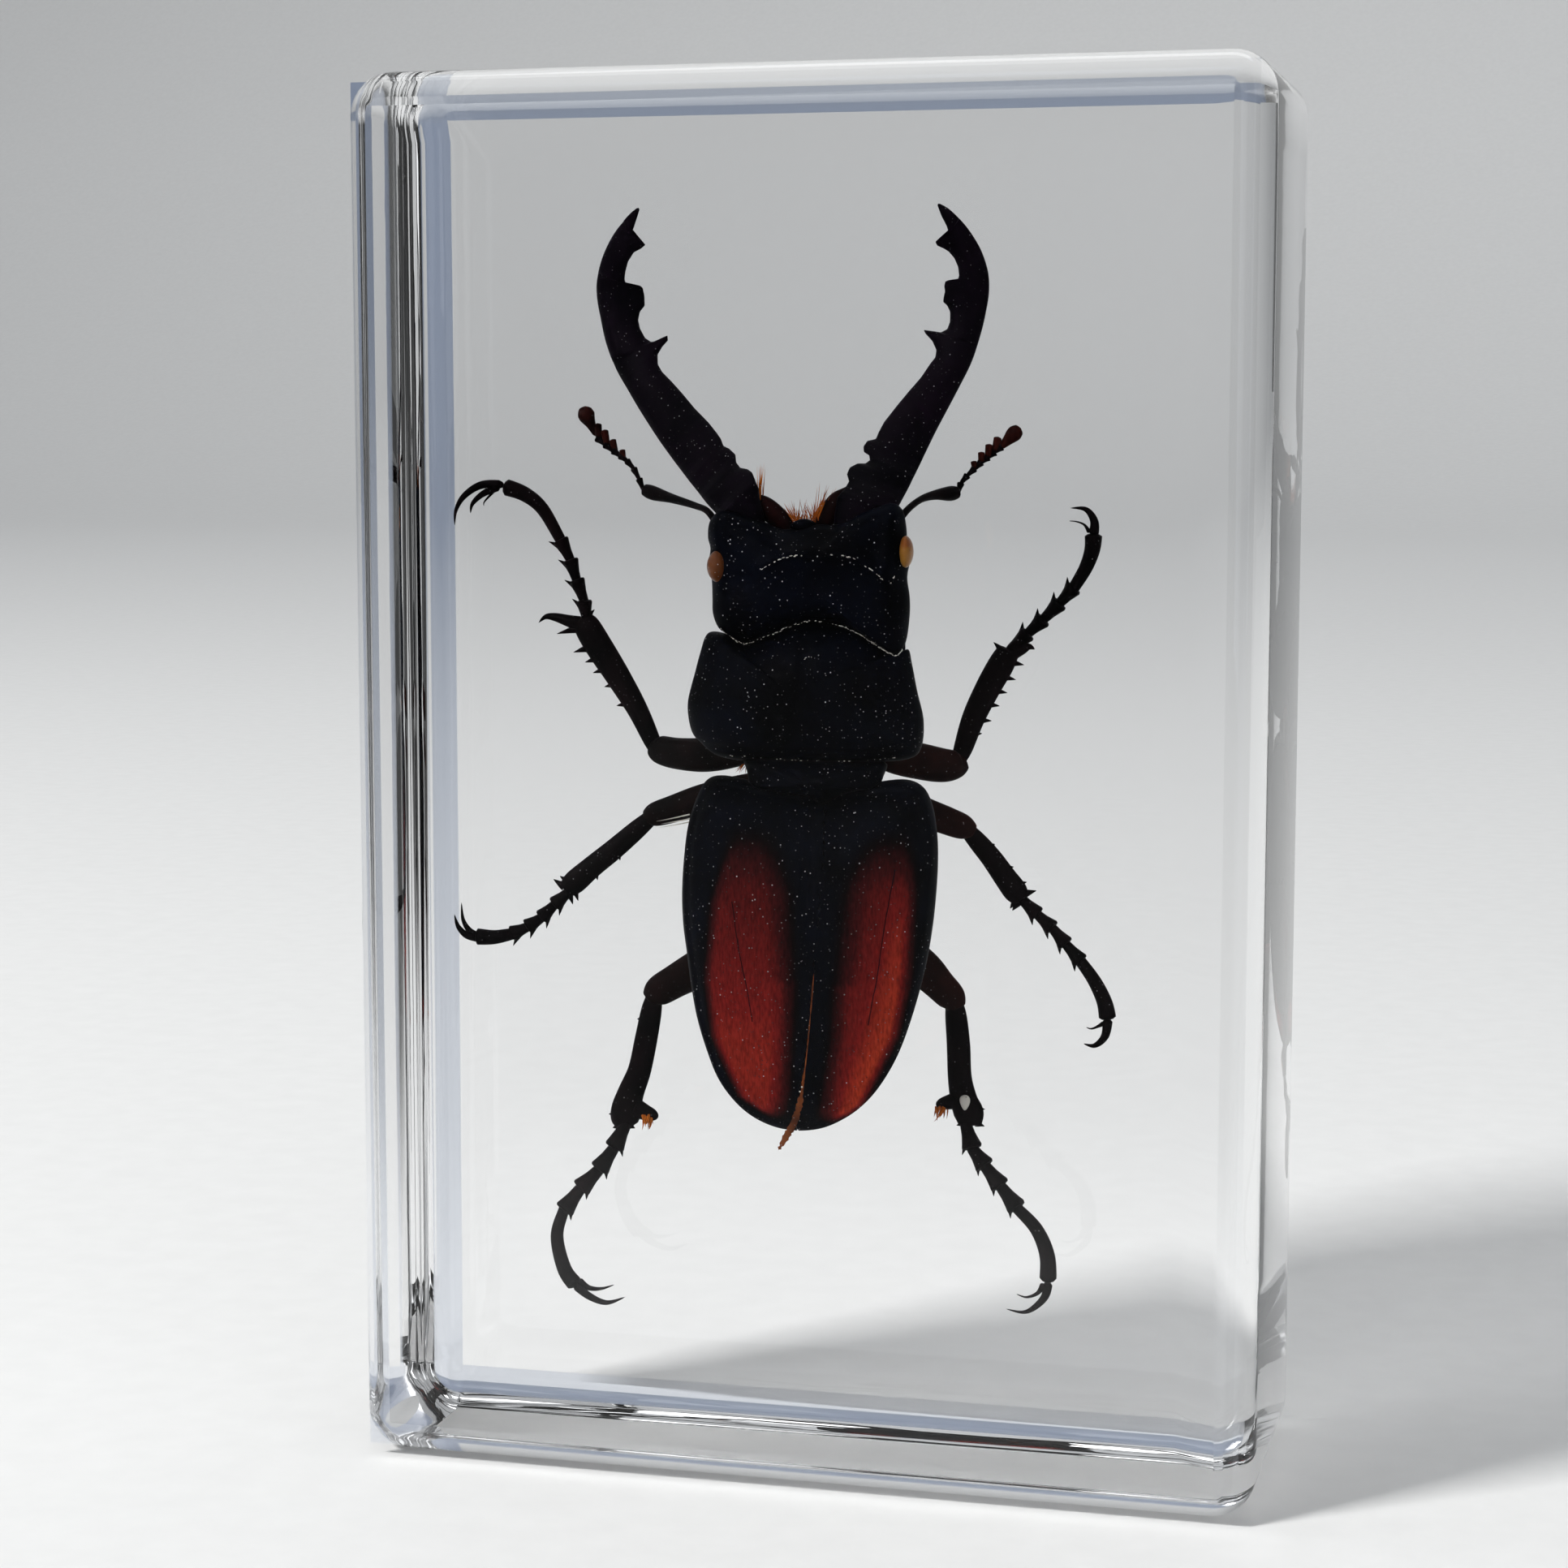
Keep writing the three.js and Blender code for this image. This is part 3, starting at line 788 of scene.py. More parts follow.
# The two eyes share one colour; these are a shaded and a lit copy of it. The right eye's bright gold is painted light
# and the left eye's darker brown is painted shade.
SHADED_EYE = Finish(
    "brown_eye", (0.03, 0.008, 0.002), (0.17, 0.048, 0.010), roughness=0.3, specular=0.3, speck=0.9, grain=0.3
)
LIT_EYE = Finish(
    "amber_eye", (0.26, 0.07, 0.008), (0.92, 0.52, 0.09), roughness=0.3, specular=0.3, speck=0.9, grain=0.3
)
BRISTLE = Finish("orange_bristle", (0.40, 0.085, 0.008), (0.78, 0.24, 0.022), specular=0.1, speck=0.9)
SHARD = Finish("brown_shard", (0.02, 0.004, 0.0015), (0.34, 0.09, 0.022), specular=0.1, speck=0.9)
# Trapped air is real, but its pale colour here is a painted glint for the silvery reflection that air shows in resin;
# the air beads, the shins' glints and the bubble wear it.
AIR_GLINT = Finish("trapped_air", (0.55, 0.52, 0.45), (0.95, 0.93, 0.88), roughness=0.3, specular=0.3, speck=1.0)
RESIN = ResinFinish("clear_resin", (1, 1, 1), (1, 1, 1), roughness=0.0)
TABLE = TableFinish(
    "pale_table", (0.97, 0.97, 0.97), (1, 1, 1), roughness=0.9, specular=0.05, grain=0.3, grain_scale=900
)
SMOOTH_BELOW = math.radians(50)


def dress(piece: Obj, finish: Material, slot: str, *nodes: str) -> Obj:
    """Gives a piece its finish and ties it to the part.

    Args:
        piece: the piece.
        finish: its main material.
        slot: the record's material slot; not used.
        nodes: the part's nodes that it stands for.

    Returns:
        The piece.
    """
    only(piece)
    if not piece.data.materials:
        piece.data.materials.append(finish)
    bpy.ops.object.mode_set(mode="EDIT")
    bpy.ops.mesh.select_all(action="SELECT")
    bpy.ops.mesh.normals_make_consistent(inside=False)
    bpy.ops.object.mode_set(mode="OBJECT")
    bpy.ops.object.shade_smooth_by_angle(angle=SMOOTH_BELOW)
    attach(piece, "root")
    if nodes:
        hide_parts(*nodes)
    LOG.info("%s: %d faces", piece.name, len(piece.data.polygons))
    return piece


# The resin block


@dataclass
class ResinBlock:
    """One clear casting whose edges are all rounded, and rounded again where the front and rear faces begin.

    Known fault: the second rounding is wider than the strips that the first one leaves, so it folds over them. A thin
    flange with square corners stands out from the rounding along the rims of the front and rear faces, and there the
    mesh overlaps itself.
    """

    edge: float = 3.4
    edge_steps: int = 10
    ease: float = 2.4
    ease_steps: int = 8
    touching: float = 1e-5

    def build(self) -> Obj:
        """Models the block from a cube with two bevels, of which the second one folds over the first.

        Returns:
            The block.
        """
        bpy.ops.object.select_all(action="DESELECT")
        bpy.ops.mesh.primitive_cube_add(size=1, location=(0, 0, BLOCK.z / 2 * MM))
        block = bpy.context.object
        block.scale = BLOCK * MM
        bpy.ops.object.transform_apply(location=True, rotation=True, scale=True)
        block.name = block.data.name = "resin_block"
        face = BLOCK.y / 2 * MM
        pick_edges(block, lambda a, b: True)
        self.bevel(self.edge, self.edge_steps)
        pick_edges(block, lambda a, b: all(abs(abs(spot.y) - face) < self.touching for spot in (a, b)))
        self.bevel(self.ease, self.ease_steps)
        return block

    @staticmethod
    def bevel(radius: float, steps: int) -> None:
        """Rounds the selected edges.

        Args:
            radius: the rounding, in millimetres.
            steps: faces across the rounding.
        """
        bpy.ops.mesh.bevel(offset=radius * MM, offset_type="OFFSET", segments=steps, profile=0.5, clamp_overlap=False)
        bpy.ops.object.mode_set(mode="OBJECT")

    def dress(self, block: Obj) -> None:
        """Makes the block clear."""
        dress(block, RESIN.material(), "resin", "block_front_half", "block_back_half")


# Shapes that repeat on the beetle


@dataclass
class Details:
    """Unit models that are copied onto the beetle: spine, joint segment, bead and bristle."""

    spine: Obj = field(init=False)
    segment: Obj = field(init=False)
    bead: Obj = field(init=False)
    bristle: Obj = field(init=False)

    def __post_init__(self) -> None:
        """Models the four unit shapes."""
        self.spine = grown("spine", 8, [(-0.15, 1.0), (0.15, 0.85), (0.4, 0.6), (0.65, 0.38), (0.85, 0.2), (1, 0.05)])
        shape(self.spine, lambda v: Vector((v.x, v.y + 0.7 * max(v.z, 0) ** 2, v.z)))
        rows = [(0, 0.4), (0.04, 0.52), (0.12, 0.58), (0.45, 0.68), (0.75, 0.88), (0.9, 1.0), (0.97, 0.92), (1.0, 0.55)]
        self.segment = grown("segment", 12, rows)
        self.bead = grown("bead", 8, [(0, 0.35), (0.15, 0.8), (0.5, 1.0), (0.85, 0.8), (1, 0.35)])
        self.bristle = grown("bristle", 4, [(0, 1.0), (0.35, 0.8), (0.7, 0.5), (1, 0.08)])
        shape(self.bristle, lambda v: Vector((v.x, v.y + 1.6 * v.z**2, v.z)))

    def clear(self) -> None:
        """Deletes the unit models once every copy is made."""
        for model in (self.spine, self.segment, self.bead, self.bristle):
            bpy.data.objects.remove(model)


# Trunk


@dataclass(frozen=True)
class RedPatch:
    """The red patch of one wing case: its edges as rising chains of [x, z], its vein and how strong its red is."""

    outer: Sequence[Row]
    inner: Sequence[Row]
    vein: Sequence[Row]
    red: float
    rear_red: float
    outer_red: float
    # how far the red fades in at the seam and out at the margin, above and below a height
    wide_fades: Row = (3.1, 1.3)
    narrow_fades: Row = (2.4, 1.1)
    wide_above: float = 40.0
    # heights between which the patch begins, ends, loses its rear red and loses its outer red
    rear_rise: Row = (28.5, 29.9)
    front_fall: Row = (46.5, 53.2)
    rear_fall: Row = (33, 50)
    outer_fall: Row = (44, 51)
    # where the outer red begins, as a share of the way from the seam to the margin
    outer_rise: Row = (0.35, 0.85)

    def share(self, side: Side, x: float, z: float) -> float:
        """Returns how red the wing case is at a place.

        Args:
            side: which wing case.
            x: sideways place, in millimetres.
            z: height, in millimetres.

        Returns:
            The share of red, from 0 to 1.
        """
        out, inner, outer = (side.value * value for value in (x, across(self.inner, z), across(self.outer, z)))
        fade_in, fade_out = self.wide_fades if z > self.wide_above else self.narrow_fades
        share = smooth(inner - 0.3, inner + fade_in, out) * smooth(-outer - 0.25, -outer + fade_out, -out)
        share *= smooth(*self.rear_rise, z) * (1 - smooth(*self.front_fall, z) ** 1.2)
        glow = smooth(*self.outer_rise, (out - inner) / (outer - inner)) * (1 - smooth(*self.outer_fall, z))
        return share * (self.red + self.rear_red * (1 - smooth(*self.rear_fall, z)) + self.outer_red * glow)


PATCHES = {
    Side.LEFT: RedPatch(
        ((-1.7, 28.6), (-4.9, 30.6), (-7.0, 35.2), (-7.5, 40.3), (-6.9, 46.0), (-5.6, 50.6)),
        ((-0.6, 28.6), (0.0, 31.0), (0.4, 35.5), (0.8, 40.7), (0.7, 46.8), (-0.2, 50.6)),
        ((-4.8, 46.2), (-3.3, 36.8)),
        red=0.46, rear_red=0.36, outer_red=0,
    ),
    Side.RIGHT: RedPatch(
        ((3.0, 28.4), (5.6, 30.4), (8.3, 36.0), (9.4, 41.1), (9.8, 47.3), (9.7, 51.4)),
        ((0.9, 28.4), (1.5, 30.4), (2.5, 35.7), (2.8, 40.8), (3.4, 47.1), (4.6, 51.4)),
        ((8.0, 49.1), (5.9, 36.9)),
        red=0.47, rear_red=0.26, outer_red=0.3,
    ),
}


@dataclass(frozen=True)
class AirLine:
    """A broken row of air beads: its [x, z] points, depth, number of tries, largest radius and seed of the draw."""

    chain: Sequence[Row]
    depth: float
    count: int
    size: float
    seed: int
    gaps: float = 0.3


@dataclass
class Trunk:
    """Head, pronotum, scutellum, wing cases and abdomen."""

    details: Details
    head: Sequence[Row] = (
        (1.1, 75.2), (-0.4, 74.9), (-1.6, 74.9), (-3, 75.5), (-4.8, 76.2), (-6.2, 76.2), (-7, 75.4), (-7.15, 74.2),
        (-6.95, 73.3), (-7.1, 72.1), (-6.85, 70.9), (-6.8, 69.5), (-6.75, 68.3), (-6.3, 67.2), (-5.4, 66.6),
        (-4.3, 66.1), (-3.1, 66.4), (-1.4, 67.1), (0.2, 67.7), (1.7, 67.9), (3.4, 67.7), (5.2, 66.9), (6.9, 65.8),
        (7.7, 65.5), (8.4, 66.3), (8.7, 68.3), (8.7, 69.8), (8.5, 71.3), (8.75, 72.8), (8.5, 74), (8.4, 75.2),
        (8.1, 76.4), (7.2, 76.9), (5.3, 76.3), (3.4, 75.3),
    )
    neck: Sequence[Row] = (
        (1, 70), (-3, 69.5), (-5.6, 68.4), (-6.2, 66.4), (-5.5, 64), (1, 63), (6.5, 63.6), (8, 65.2), (7.6, 67.6),
        (4.6, 69.4),
    )
    pronotum: Sequence[Row] = (
        (1.4, 67.8), (-0.8, 67.3), (-2.6, 66.4), (-4.4, 65.95), (-5.6, 66.5), (-6.7, 66.9), (-7.4, 66.6), (-7.9, 65.2),
        (-8.3, 63.8), (-8.9, 61.6), (-8.9, 60.2), (-8.6, 59), (-8, 58.3), (-6.7, 57.3), (-4.6, 56.9), (-0.6, 56.9),
        (3.2, 56.9), (6.4, 57.1), (8.6, 57.4), (9.5, 58.2), (9.7, 60.3), (9.2, 62.6), (8.8, 64.7), (8.5, 65.8),
        (7.7, 65.3), (6.4, 66), (4.2, 67.2),
    )
    cases: Sequence[Row] = (
        (2, 54.6), (-0.5, 54.9), (-4.2, 55.4), (-6.3, 55.7), (-7.5, 55.3), (-8.3, 53.9), (-9, 51.7), (-9.35, 49),
        (-9.5, 46.4), (-9.4, 44), (-9.1, 41.8), (-8.7, 39), (-8.2, 36.5), (-7.4, 34), (-6.5, 31.9), (-5.3, 30.3),
        (-4, 29.2), (-2.6, 28.5), (-1.2, 28.15), (0.4, 28.1), (2, 28.4), (3.5, 29.1), (4.9, 30.1), (6.2, 31.5),
        (7.4, 33.4), (8.3, 35.4), (9.2, 38.2), (9.95, 41.2), (10.45, 44.2), (10.75, 47.4), (10.85, 49.8), (10.75, 51.9),
        (10.35, 54), (9.6, 55.3), (8.2, 55.8), (5.9, 55.5), (3.6, 55),
    )
    suture: Sequence[Row] = (
        (0.6, 25), (0.0, 28.6), (0.5, 31), (1.2, 34.2), (1.6, 38), (2, 41.7), (2.3, 45.8), (2.5, 51), (2.2, 54.5),
        (2, 58),
    )
    # the heights that the seam's rows spread over
    seam_span: Row = (25, 58)
    # front, middle and rear depth
    head_depths: Row = (1.8, 4.8, 9.6)
    neck_depths: Row = (5.2, 7, 9.8)
    # the wing cases: middle of their outline, wall, half the gap at the seam, and the y that each shell ends at
    case_middle: Row = (0.6, 43.0)
    case_wall: float = 0.55
    seam_gap: float = 0.035
    case_end: float = -6.6
    # vertices with a y below this belong to the front of the dome
    front_side: float = -7.0
    # directions per radian in which the outline's distance is kept
    margin_turns: int = 60
    margins: dict[int, float] = field(init=False, default_factory=dict)
    air_lines: Sequence[AirLine] = (
        AirLine(
            (
                (-6, 67.3), (-5.3, 66.7), (-4.2, 66.1), (-3.2, 66.3), (-1.5, 67), (-0.6, 67.4), (0.6, 67.8),
                (1.7, 67.9), (3.6, 67.6), (4.5, 67.2), (5.3, 66.8), (6.1, 66.3), (6.9, 65.8), (7.5, 65.5),
                (8, 65.4), (8.4, 65.9),
            ),
            3.4, 130, 0.05, 1,
        ),
        AirLine(((-2.5, 71.8), (-0.7, 72.7), (1, 73)), 1.5, 18, 0.05, 2),
        AirLine(((2.9, 73.1), (4.7, 72.8), (6.5, 71.7), (7.1, 71.2)), 1.5, 20, 0.05, 3),
        AirLine(((6.9, 70.5), (7.5, 70.8), (7.9, 71.5)), 2.6, 7, 0.06, 4),
        AirLine(((1.0, 65.1), (1.45, 65.25), (2.0, 65.1)), 1.5, 6, 0.04, 6),
        AirLine(((0.85, 32.1), (0.6, 31.2)), 1.5, 5, 0.08, 9),
        AirLine(((-5, 57.5), (-1, 57.3), (4, 57.3), (8, 57.7)), 2.6, 40, 0.035, 7),
    )

    def __post_init__(self) -> None:
        """Measures how far the wing cases' outline lies from their middle, by direction."""
        cx, cz = self.case_middle
        for k in range(720):
            x, z = spline(self.cases, k / 720, closed=True)
            self.margins[round(math.atan2(z - cz, x - cx) * self.margin_turns)] = math.hypot(x - cx, z - cz)

    @staticmethod
    def depths(low: Row, high: Row) -> DepthRule:
        """Makes a depth rule.

        Args:
            low: height, then front, middle and rear depth there.
            high: the same at a greater height.

        Returns:
            A function that gives the three depths at a height.
        """

        def rule(z: float) -> list[float]:
            """Returns front, middle and rear depth at height z."""
            t = clamped(low[0], high[0], z)
            return [a + (b - a) * t for a, b in zip(low[1:], high[1:])]

        return rule

    def build_head(self) -> Obj:
        """Models the head with its brow ridges, cheeks, side edges, lip and hollows.

        Returns:
            The head.
        """
        brow = (((-2.4, 71.9), (-0.7, 72.8), (1, 73.1)), ((2.6, 73.2), (4.7, 72.9), (6.8, 71.7)))
        edges = (((-6.2, 75.2), (-5.9, 70.5)), ((7.6, 75.8), (7.3, 70.5)))

        def relief(x: float, z: float) -> float:
            """Relief of the head: brow ridges, cheeks, side edges, lip and hollows.

            Args:
                x: sideways place, in millimetres.
                z: height, in millimetres.

            Returns:
                How far the surface rises there, in millimetres.
            """
            ridge = 0.3 * sum(line_bell(x, z, chain, 0.55) for chain in brow)
            cheek = 0.55 * bell(x, z, -5.4, 68.3, 1.8, 1.6) + 0.55 * bell(x, z, 7.2, 67.8, 1.6, 1.7)
            sides = [0.5 * line_bell(x, z, chain, 0.7) for chain in edges]
            hollow = 0.7 * bell(x, z, 1, 74.4, 3.4, 1.1) + 0.25 * bell(x, z, 1.2, 71, 3.0, 1.3)
            lip = 0.5 * bell(x, z, 0.4, 75.6, 0.8, 0.4)
            return ridge + cheek + sum(sides) + lip - hollow

        return dome("head_capsule", self.head, lambda _: self.head_depths, relief)

    def build_neck(self) -> list[Obj]:
        """Models what joins head and neck shield, and the lip in the middle of the head's front.

        Returns:
            The neck and the lip.
        """
        neck = dome("neck", self.neck, lambda _: self.neck_depths, around=40, rings=18)

        def lip_place(v: Vector) -> Vector:
            """Returns a ball vertex's place on the lip, which thins to its sides."""
            return at(0.45 + 1.15 * v.x, 75.05 + (0.6 - 0.2 * v.x * v.x) * v.z, 4.9 + 0.6 * v.y)

        lip = shape(ball("lip", 24, 14), lip_place)
        return [neck, lip]

    def air_beads(self, line: AirLine) -> list[Obj]:
        """Lays the beads of one broken row.

        Args:
            line: the row.

        Returns:
            The beads.
        """
        draw = random.Random(line.seed)
        beads = []
        for i in range(line.count):
            if draw.random() < line.gaps:
                continue
            share = (i + draw.random()) / line.count
            x, z = spline(line.chain, share)
            x2, z2 = spline(line.chain, min(share + 0.02, 1))
            lie = Vector((x2 - x, 0, z2 - z)).normalized() * MM
            long = line.size * draw.uniform(0.6, 2.6)
            x, z = x + draw.uniform(-0.04, 0.04), z + draw.uniform(-0.05, 0.05)
            spot = at(x, z, line.depth + draw.uniform(-0.05, 0.1))
            width = line.size * draw.uniform(0.4, 1) * MM
            beads.append(placed(self.details.bead, spot - lie * long, spot + lie * long, width))
        return beads

    def build_pronotum(self) -> Obj:
        """Models the neck shield with its two pads, rear groove and middle line.

        Returns:
            The shield.
        """

        def relief(x: float, z: float) -> float:
            """Relief of the neck shield: two pads, the rear groove and the middle line.

            Args:
                x: sideways place, in millimetres.
                z: height, in millimetres.

            Returns:
                How far the surface rises there, in millimetres.
            """
            groove = 0.22 * line_bell(x, z, ((-7, 58.0), (-3, 57.7), (4, 57.7), (8.6, 58.2)), 0.25)
            middle = 0.14 * line_bell(x, z, ((0.9, 66), (1.0, 59)), 0.5)
            pads = 0.25 * bell(x, z, -4.6, 61.5, 2.6, 2.6) + 0.25 * bell(x, z, 6, 61.5, 2.6, 2.6)
            return pads - groove - middle

        return dome("neck_shield", self.pronotum, self.depths((57, 1.5, 5.8, 12.4), (67, 1.8, 5.2, 11.2)), relief)

    def build_scutellum(self) -> Obj:
        """Models the narrow neck and its small shield.

        Returns:
            The piece.
        """
        outline = (
            (1.2, 57.2), (-2, 57.2), (-4.3, 57.2), (-4.2, 56.2), (-3.7, 54.9), (-1.8, 54.6), (0.6, 54.3), (1.5, 53.9),
            (2, 53.7), (2.6, 53.9), (3.6, 54.5), (5, 54.9), (6.1, 55.1), (6.6, 56), (6.7, 57.1), (3.8, 57.2),
        )

        def relief(x: float, z: float) -> float:
            """Relief of the small shield: its rise and the crease in front of it.

            Args:
                x: sideways place, in millimetres.
                z: height, in millimetres.

            Returns:
                How far the surface rises there, in millimetres.
            """
            crease = 0.25 * line_bell(x, z, ((-0.2, 56.4), (1.2, 55.2), (2, 54.6)), 0.2)
            return 0.35 * bell(x, z, 2, 55.4, 1.5, 0.8) - crease

        return dome("small_shield", outline, self.depths((54, 2.5, 5.5, 9.8), (57, 2.7, 5.5, 9.8)), relief, 64, 24)

    def seam(self, z: float) -> float:
        """Returns the seam's x at a height, in millimetres."""
        return spline(self.suture, clamped(*self.seam_span, z))[0]

    def case_relief(self, x: float, z: float) -> float:
        """Relief of the wing cases: shoulders, the ridge along the seam and the groove along the front.

        Args:
            x: sideways place, in millimetres.
            z: height, in millimetres.

        Returns:
            How far the surface rises there, in millimetres.
        """
        off = x - self.seam(z)
        shoulders = 0.45 * bell(x, z, -6.2, 53.6, 1.6, 1.8) + 0.45 * bell(x, z, 8.9, 53.8, 1.6, 1.8)
        ridge = 0.12 * math.exp(-((off / 0.5) ** 2)) - 0.1 * math.exp(-(((abs(off) - 1.1) / 0.4) ** 2))
        front = 0.3 * line_bell(x, z, ((-6, 54.9), (-0.5, 54.1), (2, 53.8), (3.7, 54.2), (8.8, 55)), 0.35)
        return shoulders + ridge - front

    def build_case(self, side: Side) -> Obj:
        """Models one wing case as a shell, cut from the whole dome along the seam.

        Args:
            side: which wing case.

        Returns:
            The wing case.
        """
        rule = self.depths((28, 2.8, 4.8, 7), (46, 1.5, 5.8, 12.8))
        case = dome("wing_case_" + side.name.lower(), self.cases, rule, self.case_relief, 180, 96)
        shape(case, self.rimmed)
        shape(case, lambda v: Vector((v.x - self.seam(v.z / MM) * MM, v.y, v.z)))
        only(case)
        bpy.ops.object.mode_set(mode="EDIT")
        at_seam = ((side.value * self.seam_gap * MM, 0, 0), (-side.value, 0, 0))
        at_edge = ((0, self.case_end * MM, 0), (0, 1, 0))
        for spot, normal in (at_seam, at_edge):
            bpy.ops.mesh.select_all(action="SELECT")
            bpy.ops.mesh.bisect(plane_co=spot, plane_no=normal, clear_outer=True, use_fill=False)
        bpy.ops.object.mode_set(mode="OBJECT")
        shape(case, lambda v: Vector((v.x + self.seam(v.z / MM) * MM, v.y, v.z)))
        only(case)
        shell = case.modifiers.new("shell", "SOLIDIFY")
        shell.thickness = self.case_wall * MM
        shell.offset = -1
        bpy.ops.object.modifier_apply(modifier=shell.name)
        self.paint_patch(case, side)
        return case

    def rimmed(self, v: Vector) -> Vector:
        """Raises a thin bead along the margin of the wing cases.

        Args:
            v: a vertex of the dome.

        Returns:
            Its new place.
        """
        x, z = v.x / MM, v.z / MM
        cx, cz = self.case_middle
        away = math.inf
        size = math.hypot(x - cx, z - cz)
        if v.y < self.front_side * MM and size > 1:
            away = self.margin(math.atan2(z - cz, x - cx)) - size
        bead = 0.09 * math.exp(-(((away - 0.35) / 0.18) ** 2)) - 0.09 * math.exp(-(((away - 0.85) / 0.25) ** 2))
        return Vector((v.x, v.y - bead * MM, v.z))

    def margin(self, turn: float) -> float:
        """Returns how far the wing cases' outline lies from their middle in a direction."""
        key = round(turn * self.margin_turns)
        return self.margins[min(self.margins, key=lambda k: abs(k - key))]

    def paint_patch(self, case: Obj, side: Side) -> None:
        """Writes the share of red at every vertex.

        Args:
            case: the wing case.
            side: which wing case.
        """
        layer = case.data.attributes.new("red_patch", "FLOAT", "POINT")
        for vertex, slot in zip(case.data.vertices, layer.data):
            slot.value = PATCHES[side].share(side, vertex.co.x / MM, vertex.co.z / MM)

    def build_abdomen(self) -> Obj:
        """Models the underbody with its belly rings.

        Returns:
            The underbody.
        """
        rule = self.depths((28, 3.7, 4.9, 6.6), (46, 2.6, 6, 12.6))
        belly = dome("underbody", self.cases, rule, None, 120, 56, inset=1.1)
        first, last, apart, deep = 29, 44, 3.6, 0.3

        def ringed(v: Vector) -> Vector:
            """Sinks the grooves between the belly rings.

            Args:
                v: a vertex of the dome.

            Returns:
                Its new place.
            """
            z = v.z / MM
            if v.y < self.front_side * MM or z > last:
                return v
            groove = max(math.cos((z - first) * math.tau / apart), 0) ** 10
            return Vector((v.x, v.y - deep * groove * MM, v.z))

        return shape(belly, ringed)

    def build(self) -> None:
        """Builds and dresses the whole trunk."""
        chitin = CHITIN.material()
        air_glint = AIR_GLINT.material()
        head = self.build_head()
        beads = [bead for line in self.air_lines for bead in self.air_beads(line)]
        neck = self.build_neck()
        parts = [*coated([head], chitin), *coated(neck, chitin), *coated(beads, air_glint)]
        dress(joined("head_capsule", parts), chitin, "black_chitin", "head")
        dress(self.build_pronotum(), chitin, "black_chitin", "pronotum")
        dress(self.build_scutellum(), chitin, "black_chitin", "scutellum")
        dress(self.build_abdomen(), chitin, "black_chitin", "abdomen")
        for side in Side:
            # The black of the wing cases keeps the chitin's bluish clouds of painted sheen.
            finish = WingCaseFinish(
                "wing_case_" + side.name.lower(), CHITIN.base, CHITIN.tint, specular=0.02, speck=0.6, grain=0.3,
                vein=PATCHES[side].vein,
            )
            dress(self.build_case(side), finish.material(), "red_black_chitin", "elytron_" + side.name.lower())


# Jaws, eyes, antennae and mouthparts


@dataclass
class Jaw:
    """One toothed jaw that bows to the rear between head and tip, given by its two edges as seen from the front."""

    side: Side
    outer: Sequence[Row]
    inner: Sequence[Row]
    # faces from head to tip, places along the outer edge, and neighbours that even out which of them face each other
    rings: int = 280
    outer_spots: int = 401
    window: int = 4
    # half the thickness as a share of the width, and the rings over which the ends round off
    thickness: float = 0.34
    round_rings: int = 6

    @staticmethod
    def bow(z: float) -> float:
        """Returns the jaw's depth at a height; it is deepest at its middle."""
        return max(13.2 - 0.042 * (z - 91) ** 2, 5.0)

    def partners(self, outer: Sequence[Row], inner: Sequence[Row]) -> list[float]:
        """Finds the nearest outer place for each inner one, never going back and evened out over its neighbours.

        Args:
            outer: places along the outer edge.
            inner: places along the inner edge.

        Returns:
            The outer place's number for each inner place.
        """
        near = [min(range(len(outer)), key=lambda k: math.dist(outer[k], spot)) for spot in inner]
        rising = list(accumulate(near, max))
        windows = [rising[max(i - self.window, 0) : i + self.window + 1] for i in range(len(rising))]
        return [sum(window) / len(window) for window in windows]

    def build(self) -> Obj:
        """Models the jaw between its edges: the inner one carries the teeth, which thin out to their points.

        Returns:
            The jaw.
        """
        steps = 300
        smooth_outer = [tuple(spline(self.outer, k / steps)) for k in range(steps + 1)]
        outer = walked(smooth_outer, self.outer_spots)
        inner = walked(self.inner, self.rings + 1)
        partners = self.partners(outer, inner)
        widths = sorted(math.dist(outer[round(k)], spot) for k, spot in zip(partners, inner))
        usual = widths[len(widths) // 3]

        def place(v: Vector) -> Vector:
            """Moves a ball's vertex onto the jaw.

            Args:
                v: the vertex on the unit ball.

            Returns:
                Its place, in metres.
            """
            ring = round(math.acos(min(max(v.z, -1.0), 1.0)) / math.pi * self.rings)
            spot, partner = inner[ring], outer[round(partners[ring])]
            wide = math.dist(spot, partner)
            off = math.hypot(v.x, v.y)
            cos, sin = (v.x / off, v.y / off) if off > 1e-6 else (0.0, 0.0)
            ends = math.sin(min(min(ring, self.rings - ring) / self.round_rings, 1.0) * math.pi / 2)
            share = 0.5 + 0.5 * cos
            x, z = (p + (q - p) * share for p, q in zip(partner, spot))
            core = min(wide, usual * (0.35 + 0.65 * (1 - (ring / self.rings) ** 3)))
            thinned = 1 - 0.55 * max(share * wide / max(core, 0.1) - 0.85, 0)
            thick = self.thickness * core * sin * thinned * ends
            depth = self.bow((spot[1] + partner[1]) / 2)
            return at(x, z, depth + thick)

        return shape(ball("jaw_" + self.side.name.lower(), 22, self.rings), place)

    def dress(self, jaw: Obj, chitin: Material) -> None:
        """Gives the jaw its finish."""
        dress(jaw, chitin, "black_chitin", "mandible_" + self.side.name.lower())


